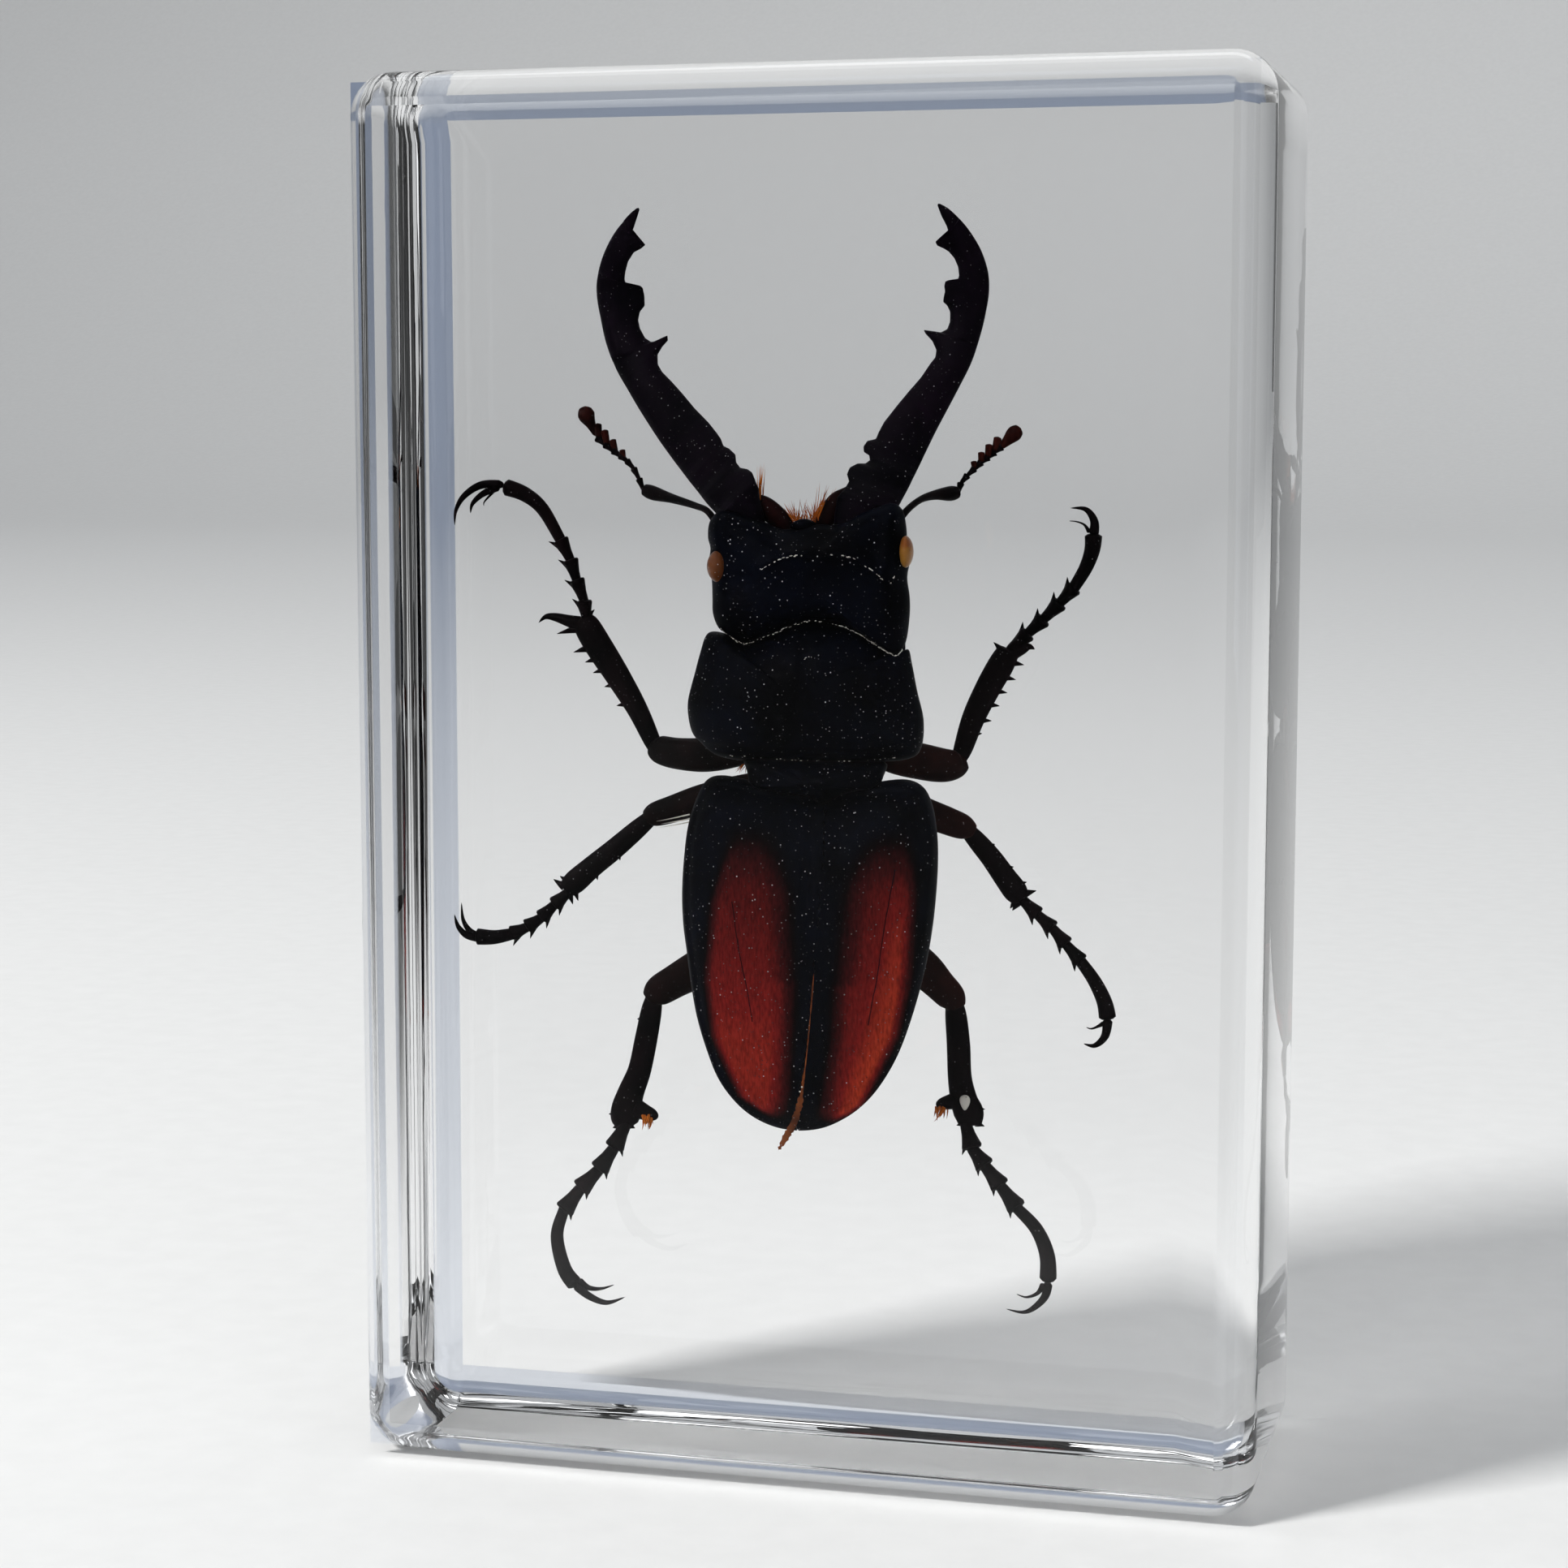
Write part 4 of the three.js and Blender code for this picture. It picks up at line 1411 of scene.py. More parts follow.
@dataclass
class Antenna:
    """An elbowed feeler with a comb at its end."""

    side: Side
    details: Details
    scape: Sequence[Row]
    beads: Sequence[Row]
    combs: Sequence[tuple[Row, Row]]
    club: Sequence[Row]

    def build(self) -> Obj:
        """Models shaft, beads, comb plates and end club.

        Returns:
            The antenna, with a dark and a reddish material.
        """
        dark, red = LEG.material(), CLUB.material()
        parts = [limb("scape", self.scape, 12, 34)]
        for start, end in zip(self.beads, self.beads[1:]):
            parts.append(placed(self.details.segment, at(*start[:3]), at(*end[:3]), start[3] * MM))
        plates = []
        for foot, tip in self.combs:
            middle = tuple((f + t) / 2 for f, t in zip(foot, tip))
            plates.append(limb("comb_plate", (foot, middle, tip), 10, 14, 0.8))
        plates.append(limb("club", self.club, 14, 18, 0.8))
        parts = [*coated(parts, dark), *coated(plates, red)]
        return joined("antenna_comb_" + self.side.name.lower(), parts)

    def dress(self, antenna: Obj) -> None:
        """Ties the antenna to the part."""
        dress(antenna, antenna.data.materials[0], "brown_chitin", "antenna_" + self.side.name.lower())


@dataclass
class Mouth:
    """Two dark lobes with orange bristles between the jaws."""

    details: Details
    left_lobe: Sequence[Row] = (
        (-3.7, 77.1, 6, 0.5), (-3.0, 76.6, 6, 0.8), (-2.2, 76.0, 6, 0.85), (-1.3, 75.3, 6, 0.7), (-0.9, 74.6, 6, 0.6),
    )
    right_lobe: Sequence[Row] = (
        (4.3, 78.5, 6.8, 0.15), (3.7, 77.7, 6.6, 0.5), (2.9, 76.9, 6.3, 0.85), (2.2, 76, 6, 0.8), (1.7, 75.2, 6, 0.7),
        (1.6, 74.6, 6, 0.6),
    )
    # middle x and z, spread, count, lean in degrees from and to, length from and to
    fans: Sequence[Row] = (
        (0.4, 75.3, 0.9, 46, -35, 25, 0.8, 1.8),
        (1.3, 75.7, 0.4, 34, 5, 42, 1.2, 2.7),
        (-0.3, 75.4, 0.5, 16, -50, -15, 0.7, 1.5),
        (-3.2, 77.0, 0.1, 18, -7, 6, 1.4, 2.9),
        (-4.4, 56.5, 0.2, 10, -170, -120, 0.5, 0.9),
    )

    def bristles(self) -> list[Obj]:
        """Fans the bristles out over the lip, by the right lobe, beside the left jaw and below the neck shield.

        Returns:
            The bristles.
        """
        draw = random.Random(11)
        hairs = []
        for x, z, spread, count, lean_from, lean_to, short, long in self.fans:
            for _ in range(count):
                lean = math.radians(draw.uniform(lean_from, lean_to))
                reach = draw.uniform(short, long)
                foot = (x + draw.uniform(-spread, spread), z + draw.uniform(-0.2, 0.2), 6 + draw.uniform(-0.8, 0.8))
                drift = draw.uniform(-0.5, 0.5)
                tip = (foot[0] + reach * math.sin(lean), foot[1] + reach * math.cos(lean), foot[2] + drift)
                width = draw.uniform(0.03, 0.05) * MM
                side = Vector((draw.uniform(-1, 1), draw.uniform(-1, 1), 0.1))
                hairs.append(placed(self.details.bristle, at(*foot), at(*tip), width, side))
        return hairs

    def build(self) -> Obj:
        """Models lobes and bristles.

        Returns:
            The mouthparts.
        """
        dark, orange = LOBE.material(), BRISTLE.material()
        lobes = [limb("lobe", self.left_lobe, 16, 24, 0.8), limb("lobe", self.right_lobe, 16, 24, 0.8)]
        return joined("mouth_bristles", [*coated(lobes, dark), *coated(self.bristles(), orange)])

    def dress(self, mouth: Obj) -> None:
        """Ties the mouthparts to the part."""
        dress(mouth, mouth.data.materials[0], "orange_bristle", "mouthparts")


@dataclass
class Eye:
    """A domed eye at the side of the head."""

    side: Side
    centre: Row
    radii: Row
    finish: Finish
    push: float = 0.12

    def build(self) -> Obj:
        """Models the eye from a ball, flattened where it meets the head.

        Returns:
            The eye.
        """
        eye = ball("amber_dome_" + self.side.name.lower(), 32, 20)
        x, z, depth = self.centre

        def place(v: Vector) -> Vector:
            """Returns a ball vertex's place on the eye."""
            push = self.push * v.z * v.z * self.side.value
            return at(x + (v.x - push) * self.radii[0], z + v.z * self.radii[1], depth + v.y * self.radii[2])

        return shape(eye, place)

    def dress(self, eye: Obj) -> None:
        """Gives the eye its finish."""
        dress(eye, self.finish.material(), "amber", "eye_" + self.side.name.lower())


@dataclass
class WingShard:
    """The brown shard of a hind wing that shows along the seam's end."""

    rows: Sequence[Row] = (
        (1.85, 41, 1.3, 0.03), (1.6, 38, 1.35, 0.035), (1.3, 35.2, 1.6, 0.035), (1.05, 33.4, 1.9, 0.05),
        (0.85, 32.3, 2.2, 0.1), (0.7, 31.4, 2.5, 0.11), (0.45, 30.4, 2.9, 0.2), (0.15, 29.5, 3.3, 0.2),
        (-0.2, 28.7, 3.8, 0.3), (-0.7, 27.9, 4.3, 0.27), (-1.2, 27.1, 4.9, 0.2), (-1.7, 26.3, 5.4, 0.04),
    )
    rings: int = 60
    calm: float = 0.3

    def build(self) -> Obj:
        """Models the shard as a thin frayed strip.

        Returns:
            The shard.
        """
        draw = random.Random(5)
        frays = [draw.uniform(-0.06, 0.09) for _ in range(self.rings + 1)]

        def edge(share: float, cos: float) -> float:
            """Returns the frayed edge's reach."""
            return frays[int(share * self.rings)] * MM * (self.calm if share < 0.5 else 1)

        return limb("wing_shard", self.rows, 8, self.rings, 0.3, edge)

    def dress(self, shard: Obj) -> None:
        """Gives the shard its brown finish."""
        dress(shard, SHARD.material(), "orange_bristle", "wing_tip")


# Legs


@dataclass
class Leg:
    """One leg: thigh, spined shin and a foot of five segments with its claws."""

    side: Side
    pair: Pair
    details: Details
    femur: Sequence[Row]
    tibia: Sequence[Row]
    spines: Sequence[Row]
    foot: Sequence[Row]
    claws: Sequence[Sequence[Row]]
    spur_side: int = 1
    horns: Sequence[Sequence[Row]] = ()
    # x, z, depth, lean in degrees and spread of the brush; place of the bubble; ends of the glints
    brush: Row | None = None
    bubble: Row | None = None
    glints: Sequence[tuple[Row, Row]] = ()
    # how many rows at the end of the foot make the claw segment
    claw_rows: int = 3
    foot_radius: float = 0.68
    thigh: Finish = THIGH
    swell: float = 1.1
    spikes: int = 18
    # the two spurs under each foot segment: lean, length and how far out they stand
    spurs: Sequence[Row] = ((0.85, 0.9, 0.85), (-0.6, 0.45, -0.8))
    spur_back: float = 0.45
    spur_root: float = 0.6
    spur_width: float = 0.28
    # how far a foot segment starts inside the one before, and the claw segment, as a share of its first row
    overlap: float = 0.25
    claw_overlap: float = 0.35
    # the claw segment's radius at its start and what it gains towards its end
    claw_radius: float = 0.38
    claw_gain: float = 0.32

    @property
    def name(self) -> str:
        """Returns the leg's name for the pieces."""
        return self.side.name.lower() + "_" + self.pair.value

    @property
    def node(self) -> str:
        """Returns the start of the leg's node names."""
        return self.pair.value + "_" + self.side.name.lower()

    def build_femur(self) -> Obj:
        """Models the thigh."""
        return limb(self.name + "_thigh", self.femur, 20, 44, 0.8)

    def build_tibia(self) -> Obj:
        """Models the shin with its horns and spines, and the brush, glints and bubble that some shins have.

        Returns:
            The shin.
        """
        shin = [(x, z, depth, radius * self.swell) for x, z, depth, radius in self.tibia]
        parts = [limb(self.name + "_shin", shin, 18, 60, 0.62)]
        parts += [limb("horn", rows, 12, 20, 0.8) for rows in self.horns]
        parts += [self.spine(shin, *row) for row in self.spines]
        coated(parts, LEG.material())
        orange, air_glint = BRISTLE.material(), AIR_GLINT.material()
        brush = self.build_brush()
        glints = [placed(self.details.bristle, at(*a), at(*b), 0.06 * MM) for a, b in self.glints]
        # The glints and the bubble take the pale air finish, a painted glint.
        pale = glints + self.build_bubble()
        return joined(self.name + "_shin", [*parts, *coated(brush, orange), *coated(pale, air_glint)])

    def spine(self, shin: Sequence[Row], share: float, side: float, reach: float) -> Obj:
        """Places one spine on the shin, leaning towards its end.

        Args:
            shin: the shin's rows.
            share: place along the shin.
            side: the side that it stands on, 1 or -1.
            reach: its length, in millimetres.

        Returns:
            The spine.
        """
        centre, along, aside, _, radius = ring_frame(shin, share)
        aside *= side
        root, out, lean, width = 0.6, 1.15 * reach, 0.15 + 0.3 * reach, min(0.26 + 0.2 * reach, 0.42)
        foot = centre + aside * radius * root
        tip = centre + aside * (radius + out * MM) + along * lean * MM
        return placed(self.details.spine, foot, tip, width * MM, -along)

    def build_bubble(self) -> list[Obj]:
        """Models the air bubble on the shin, if it has one.

        Returns:
            The bubble, or nothing.
        """
        if not self.bubble:
            return []
        x, z, depth = self.bubble

        def place(v: Vector) -> Vector:
            """Returns a ball vertex's place on the bubble, which narrows to its foot."""
            return at(x + (0.4 + 0.15 * v.z) * v.x, z + 0.62 * v.z, depth + 0.2 * v.y)

        return [shape(ball("bubble", 16, 10), place)]

    def build_brush(self) -> list[Obj]:
        """Models the short orange spikes on the lobe at the shin's end.

        Returns:
            The spikes.
        """
        if not self.brush:
            return []
        draw = random.Random(len(self.name))
        x, z, depth, lean, spread = self.brush
        spikes = []
        for _ in range(self.spikes):
            turn = math.radians(lean + draw.uniform(-22, 22))
            reach = draw.uniform(0.6, 1.25)
            foot = (x + draw.uniform(-spread, spread), z + draw.uniform(-0.1, 0.2), depth + draw.uniform(-0.4, 0.4))
            tip = (foot[0] + reach * math.sin(turn), foot[1] + reach * math.cos(turn), foot[2])
            spikes.append(placed(self.details.bristle, at(*foot), at(*tip), draw.uniform(0.07, 0.13) * MM))
        return spikes

    def build_foot(self) -> Obj:
        """Models the foot: segments that widen towards their ends with spurs under them, a claw segment and its claws.

        Returns:
            The foot.
        """
        parts = []
        radius = self.foot_radius
        short = self.foot[: -self.claw_rows]
        for start, end in ((at(*a), at(*b)) for a, b in zip(short, short[1:])):
            way = (end - start).normalized()
            parts.append(placed(self.details.segment, start - way * self.overlap * MM, end, radius * MM))
            down = Vector((0, 1, 0)).cross(way) * self.spur_side
            for lean, reach, out in self.spurs:
                foot = end - way * self.spur_back * MM + down * radius * out * self.spur_root * MM
                tip = foot + (way + down * lean).normalized() * reach * MM
                parts.append(placed(self.details.spine, foot, tip, self.spur_width * MM, down))
        ends = self.foot[-self.claw_rows - 1 :]
        hidden = tuple(a - self.claw_overlap * (b - a) for a, b in zip(*ends[:2]))
        rows = [(*row, self.claw_radius + self.claw_gain * i / len(ends)) for i, row in enumerate((hidden, *ends))]
        parts.append(limb("claw_segment", rows, 14, 30))
        for rows in self.claws:
            parts.append(limb("claw", rows, 10, 24))
        return joined(self.name + "_foot", parts)

    def build(self) -> None:
        """Builds and dresses the leg's three pieces."""
        dress(self.build_femur(), self.thigh.material(), "brown_chitin", self.node + "_femur")
        dress(self.build_tibia(), LEG.material(), "brown_chitin", self.node + "_tibia")
        dress(self.build_foot(), LEG.material(), "brown_chitin", self.node + "_tarsus")


@dataclass
class Beetle:
    """The whole insect."""

    details: Details

    def jaws(self) -> list[Jaw]:
        """Returns both jaws with the points of their edges, from the head to the tip.

        Returns:
            The left and the right jaw.
        """
        return [
            Jaw(
                Side.LEFT,
                outer=(
                    (-5.6, 74.4), (-6.2, 75.5), (-7.5, 76.7), (-9.15, 78.3), (-10.8, 80), (-12.3, 81.7),
                    (-13.9, 83.75), (-15.05, 85.4), (-16.15, 87.05), (-17, 89.05), (-17.45, 90.9), (-17.75, 92.75),
                    (-17.65, 94.25), (-17, 96.05), (-15.85, 97.8), (-14.5, 99.05), (-13.65, 99.55),
                ),
                inner=(
                    (-2.4, 74.4), (-2.8, 76), (-3.1, 77.3), (-3.15, 77.9), (-3.45, 78.55), (-3.8, 79.15),
                    (-4.2, 79.4), (-4.85, 79.5), (-5.25, 79.9), (-5.4, 80.5), (-6, 80.95), (-6.5, 81.15),
                    (-6.8, 81.7), (-7.2, 82.15), (-8, 82.95), (-9.3, 84.05), (-10.35, 85.1), (-11.4, 86.1),
                    (-12.25, 86.85), (-12.65, 87.45), (-12.7, 88.2), (-12.35, 88.8), (-11.9, 89.3), (-11.95, 89.7),
                    (-12.35, 89.5), (-12.75, 89.25), (-13.3, 89.2), (-13.8, 89.5), (-14.25, 90.25), (-14.4, 90.9),
                    (-14.25, 91.55), (-13.85, 92), (-13.85, 92.75), (-13.95, 93.4), (-14.2, 93.6), (-14.5, 93.3),
                    (-14.95, 93.2), (-15.25, 93.5), (-15.4, 94.05), (-15.3, 94.6), (-15, 95.4), (-14.45, 96.1),
                    (-13.85, 96.35), (-13.4, 96.65), (-13.6, 96.8), (-14.2, 96.8), (-14.5, 97), (-14.55, 97.35),
                    (-14.25, 98), (-13.85, 98.85), (-13.6, 99.45),
                ),
            ),
            Jaw(
                Side.RIGHT,
                outer=(
                    (7.1, 74.4), (7.6, 76), (7.9, 77), (8.55, 78.7), (9.2, 80.5), (9.9, 82.3), (10.65, 83.95),
                    (11.45, 85.65), (12.3, 87.5), (12.85, 89.25), (13.3, 91.05), (13.6, 92.8), (13.55, 94.3),
                    (13.1, 95.85), (12.4, 97.15), (11.6, 98.2), (10.75, 99.05), (9.95, 99.5),
                ),
                inner=(
                    (2.7, 74.4), (2.8, 76), (3, 77.3), (3.55, 77.95), (3.8, 78.5), (3.55, 79.05), (3.7, 79.55),
                    (4.25, 79.85), (4.85, 79.85), (5.15, 80.1), (5.05, 80.45), (4.6, 80.7), (4.5, 81.1),
                    (4.75, 81.55), (5.4, 81.7), (5.55, 82.2), (5.9, 83), (6.75, 84.2), (7.55, 85.25), (8.45, 86.35),
                    (9.15, 87.45), (9.5, 87.9), (9.55, 88.45), (9.2, 89.15), (8.65, 89.7), (8.5, 90), (9.25, 89.9),
                    (9.85, 89.8), (10.35, 90.05), (10.55, 90.6), (10.55, 91.35), (10.3, 91.85), (10, 92.1),
                    (10.05, 92.5), (10.15, 92.9), (10.1, 93.3), (10.2, 93.65), (10.5, 93.75), (10.75, 93.6),
                    (11.1, 93.6), (11.3, 94.05), (11.25, 94.7), (11, 95.35), (10.6, 95.85), (10.2, 96.1),
                    (9.75, 96.3), (9.6, 96.6), (10.15, 96.7), (10.6, 96.8), (10.7, 97.2), (10.55, 97.75),
                    (10.2, 98.5), (9.9, 99.4),
                ),
            ),
        ]

    def eyes(self) -> list[Eye]:
        """Returns both eyes with their sizes and finishes: a painted shaded copy of the eye colour on the left and a
        painted lit copy on the right.

        Returns:
            The left and the right eye.
        """
        return [
            Eye(Side.LEFT, (-6.15, 72, 3.3), (0.8, 1.25, 1.4), SHADED_EYE),
            Eye(Side.RIGHT, (8.6, 73.25, 3.9), (0.52, 1.2, 1.3), LIT_EYE),
        ]

    def antennae(self) -> list[Antenna]:
        """Returns both antennae with their sizes.

        Returns:
            The left and the right antenna.
        """
        return [
            Antenna(
                Side.LEFT, self.details,
                scape=(
                    (-6.5, 75, 5.6, 0.3), (-7.6, 76.1, 7, 0.27), (-9, 76.5, 9, 0.27), (-11.4, 77, 11.6, 0.38),
                    (-13.3, 77.4, 13.2, 0.58), (-14.2, 77.7, 13.6, 0.42),
                ),
                beads=(
                    (-14.1, 77.6, 13.5, 0.3), (-14.5, 78.5, 13.7, 0.3), (-15, 79.3, 14, 0.3),
                    (-15.6, 79.9, 14.2, 0.32), (-16.2, 80.3, 14.4, 0.34), (-16.8, 80.7, 14.5, 0.36),
                    (-17.5, 81.2, 14.7, 0.36), (-18.2, 81.7, 14.9, 0.36),
                ),
                combs=(
                    ((-15.9, 80.1, 14.3, 0.22), (-16, 80.8, 14.3, 0.25)),
                    ((-16.6, 80.6, 14.5, 0.24), (-16.85, 81.6, 14.5, 0.3)),
                    ((-17.3, 81.1, 14.6, 0.26), (-17.55, 82.35, 14.6, 0.34)),
                    ((-18, 81.6, 14.8, 0.26), (-18.15, 82.85, 14.8, 0.36)),
                ),
                club=(
                    (-18.2, 81.8, 14.9, 0.22), (-18.7, 82.7, 15, 0.4), (-19.1, 83.5, 15, 0.7),
                    (-19.2, 84.2, 15, 0.4),
                ),
            ),
            Antenna(
                Side.RIGHT, self.details,
                scape=(
                    (7.6, 75.4, 5.6, 0.3), (8.2, 76.4, 7.4, 0.27), (8.9, 77.1, 9.4, 0.27), (9.7, 77.4, 11.4, 0.38),
                    (10.7, 77.5, 13, 0.58), (11.3, 77.6, 13.6, 0.42),
                ),
                beads=(
                    (11.2, 77.5, 13.5, 0.3), (11.4, 78.3, 13.8, 0.3), (11.9, 78.9, 14, 0.3),
                    (12.4, 79.4, 14.3, 0.32), (12.9, 79.9, 14.5, 0.34), (13.4, 80.3, 14.7, 0.36),
                    (13.9, 80.7, 14.8, 0.36), (14.4, 81.1, 15, 0.36),
                ),
                combs=(
                    ((12.4, 79.4, 14.3, 0.22), (12.3, 80, 14.3, 0.25)),
                    ((12.9, 79.9, 14.4, 0.24), (12.9, 80.7, 14.4, 0.28)),
                    ((13.4, 80.3, 14.6, 0.26), (13.5, 81.3, 14.6, 0.32)),
                    ((13.9, 80.7, 14.8, 0.26), (14.15, 81.85, 14.8, 0.34)),
                ),
                club=((14.3, 81, 15, 0.22), (14.8, 81.5, 15, 0.4), (15.4, 82.1, 15, 0.62), (15.9, 82.5, 15, 0.36)),
            ),
        ]

    def legs(self) -> list[Leg]:
        """Returns the six legs with their sizes.

        Returns:
            The left legs from front to rear, then the right ones.
        """
        return [
            Leg(
                Side.LEFT, Pair.FRONT, self.details,
                femur=(
                    (-4.2, 58, 12.4, 1.1), (-6.2, 57.3, 13, 1.35), (-9, 56.7, 14, 1.38), (-11.6, 56.6, 15.4, 1.28),
                    (-13.4, 56.8, 16.6, 1.15), (-14.2, 57.1, 17, 0.7),
                ),
                tibia=(
                    (-13.7, 56.6, 16.8, 0.5), (-14.2, 57.6, 16.9, 0.66), (-15.4, 60, 17, 0.8),
                    (-17, 62.6, 17, 0.95), (-18.6, 65, 17, 1.05), (-19.6, 66.6, 17, 1), (-20, 67.3, 17, 0.7),
                ),
                spines=(
                    (0.38, -1, 0.35), (0.48, -1, 0.32), (0.56, -1, 0.42), (0.62, -1, 0.45), (0.69, -1, 0.75),
                    (0.86, -1, 1.2), (0.95, 1, 0.3),
                ),
                foot=(
                    (-19.6, 67, 17), (-19.8, 68.7, 16.8), (-20.4, 70.4, 16.7), (-20.9, 72, 16.6),
                    (-21.7, 73.6, 16.5), (-23.1, 76, 16.2), (-24.6, 77.2, 16), (-26.4, 77.8, 15.9),
                ),
                claws=(
                    ((-26.2, 77.9, 15.9, 0.4), (-28.1, 77.9, 15.7, 0.33), (-29.6, 77, 15.6, 0.25),
                     (-30.3, 75.8, 15.5, 0.15), (-30.4, 74.6, 15.5, 0.03)),
                    ((-26.6, 77.8, 15.9, 0.36), (-28, 77.2, 15.8, 0.27), (-28.9, 76.4, 15.7, 0.17),
                     (-29.1, 75.6, 15.7, 0.03)),
                    ((-26.9, 77.6, 15.9, 0.14), (-27.9, 76.6, 15.9, 0.07), (-28, 76.2, 15.9, 0.02)),
                ),
                spur_side=-1,
                horns=(
                    ((-19.9, 66.7, 17, 0.7), (-21.1, 67, 17, 0.5), (-22.3, 67.3, 17, 0.34), (-23.1, 67.3, 17, 0.2),
                     (-23.7, 66.8, 17, 0.03)),
                ),
            ),
            Leg(
                Side.LEFT, Pair.MIDDLE, self.details,
                femur=(
                    (-4.4, 54.7, 12.8, 0.9), (-7, 53.9, 13.6, 1.1), (-9.6, 53.1, 14.4, 1.15),
                    (-12, 52.2, 15.2, 1.1), (-13.8, 51.6, 15.8, 0.95), (-14.6, 51.3, 16, 0.5),
                ),
                tibia=(
                    (-13.9, 51.5, 15.9, 0.55), (-15.2, 50.4, 16, 0.7), (-17.2, 48.7, 16.2, 0.78),
                    (-19.2, 47.1, 16.4, 0.82), (-20.7, 45.8, 16.5, 0.88), (-21.5, 45.1, 16.5, 0.6),
                ),
                spines=(
                    (0.96, 1, 0.55), (0.86, 1, 0.25), (0.96, -1, 0.5), (0.86, -1, 0.4), (0.6, -1, 0.2),
                    (0.4, -1, 0.15),
                ),
                foot=(
                    (-21.2, 45, 16.5), (-22.4, 43.9, 16.4), (-23.5, 42.8, 16.3), (-24.7, 42, 16.1), (-26, 41.4, 16),
                    (-27.5, 41.1, 15.9), (-29.1, 41.1, 15.9),
                ),
                claws=(
                    ((-28.7, 41, 15.9, 0.4), (-29.8, 41.2, 15.7, 0.3), (-30.5, 41.9, 15.6, 0.2),
                     (-30.8, 42.9, 15.5, 0.03)),
                    ((-28.9, 41.1, 15.9, 0.36), (-29.6, 41.6, 15.8, 0.26), (-30.1, 42.5, 15.7, 0.16),
                     (-30.2, 43.9, 15.6, 0.03)),
                ),
                spur_side=-1,
                glints=(
                    ((-9.7, 51.7, 13.6), (-12.9, 50.9, 14.4)),
                    ((-10, 51.4, 13.6), (-13.1, 50.6, 14.4)),
                    ((-10.4, 51.9, 13.6), (-13.3, 51.1, 14.4)),
                ),
                claw_rows=2,
            ),
            Leg(
                Side.LEFT, Pair.HIND, self.details,
                femur=(
                    (-4, 43.4, 13, 0.9), (-6.6, 41.6, 13.5, 1.35), (-9.6, 39.6, 14, 1.5), (-11.8, 38.3, 14.5, 1.35),
                    (-13.4, 37.3, 14.9, 1.2), (-14.2, 36.6, 15, 0.6),
                ),
                tibia=(
                    (-13.6, 37.2, 15, 0.55), (-13.9, 35.8, 15, 0.78), (-14.4, 33.4, 15.2, 0.86),
                    (-15, 30.8, 15.4, 0.88), (-15.8, 28.8, 15.6, 1), (-16.2, 27.5, 15.8, 1.15),
                    (-16.4, 26.5, 15.8, 1.05), (-16.4, 25.9, 15.8, 0.6),
                ),
                spines=((0.2, 1, 0.15), (0.8, 1, 0.15), (0.95, 1, 0.2), (0.95, -1, 0.12)),
                foot=(
                    (-16.2, 26.3, 15.6), (-17.2, 24.2, 15.2), (-18.4, 22.4, 14.8), (-19.9, 20.8, 14.3),
                    (-21.2, 19, 13.7), (-21.7, 16.9, 13.4), (-21, 14.3, 13), (-19.9, 12.95, 12.8),
                ),
                claws=(
                    ((-20.1, 13.1, 12.8, 0.4), (-18.8, 12.2, 12.7, 0.31), (-17.3, 11.8, 12.6, 0.2),
                     (-15.7, 12.4, 12.5, 0.03)),
                    ((-19.8, 13.5, 12.8, 0.34), (-18.9, 12.9, 12.8, 0.23), (-17.8, 12.9, 12.8, 0.13),
                     (-16.7, 13.3, 12.8, 0.03)),
                ),
                spur_side=-1,
                horns=(
                    ((-15.6, 27.7, 15.7, 0.85), (-14.7, 27.3, 15.7, 0.7), (-13.9, 27.05, 15.7, 0.5),
                     (-13.5, 26.9, 15.7, 0.15)),
                ),
                brush=(-14.3, 27, 15.5, 172, 0.55),
                foot_radius=0.84,
            ),
            Leg(
                Side.RIGHT, Pair.FRONT, self.details,
                femur=(
                    (4.4, 57.8, 12.4, 1.1), (6.2, 57.1, 13.2, 1.4), (8.2, 56.6, 14.4, 1.45),
                    (9.8, 56.25, 15.6, 1.35), (10.8, 56.3, 16.6, 1.12), (11.5, 56.6, 17, 0.6),
                ),
                tibia=(
                    (10.9, 56.5, 16.8, 0.5), (11.3, 57.6, 16.9, 0.7), (12.1, 60, 17, 0.84), (13.2, 62.3, 17, 0.92),
                    (14.2, 64.1, 17, 0.95), (14.9, 65.4, 17, 0.8),
                ),
                spines=(
                    (0.31, 1, 0.15), (0.4, 1, 0.4), (0.51, 1, 0.4), (0.61, 1, 0.42), (0.73, 1, 0.45),
                    (0.87, 1, 0.5), (0.93, -1, 0.35),
                ),
                foot=(
                    (15, 65.4, 17), (16.4, 66.7, 17), (17.6, 67.8, 16.8), (18.9, 69.1, 16.7), (20, 70.3, 16.5),
                    (20.9, 71.8, 16.2), (21.4, 73.2, 16.1), (21.5, 74.5, 16),
                ),
                claws=(
                    ((21.5, 74.3, 16, 0.42), (21.55, 75.4, 15.9, 0.33), (20.9, 76.3, 15.8, 0.2),
                     (19.7, 76.4, 15.7, 0.03)),
                    ((21.2, 74.5, 16, 0.2), (20.8, 75.1, 15.9, 0.1), (20.2, 75.35, 15.9, 0.06),
                     (19.6, 75.4, 15.9, 0.03)),
                ),
                spur_side=-1,
                horns=(
                    ((14.8, 65, 17, 0.7), (15.7, 65.3, 17, 0.45), (16.4, 65.6, 17, 0.28), (16.9, 65.4, 17, 0.03)),
                ),
                thigh=RED_THIGH,
            ),
            Leg(
                Side.RIGHT, Pair.MIDDLE, self.details,
                femur=(
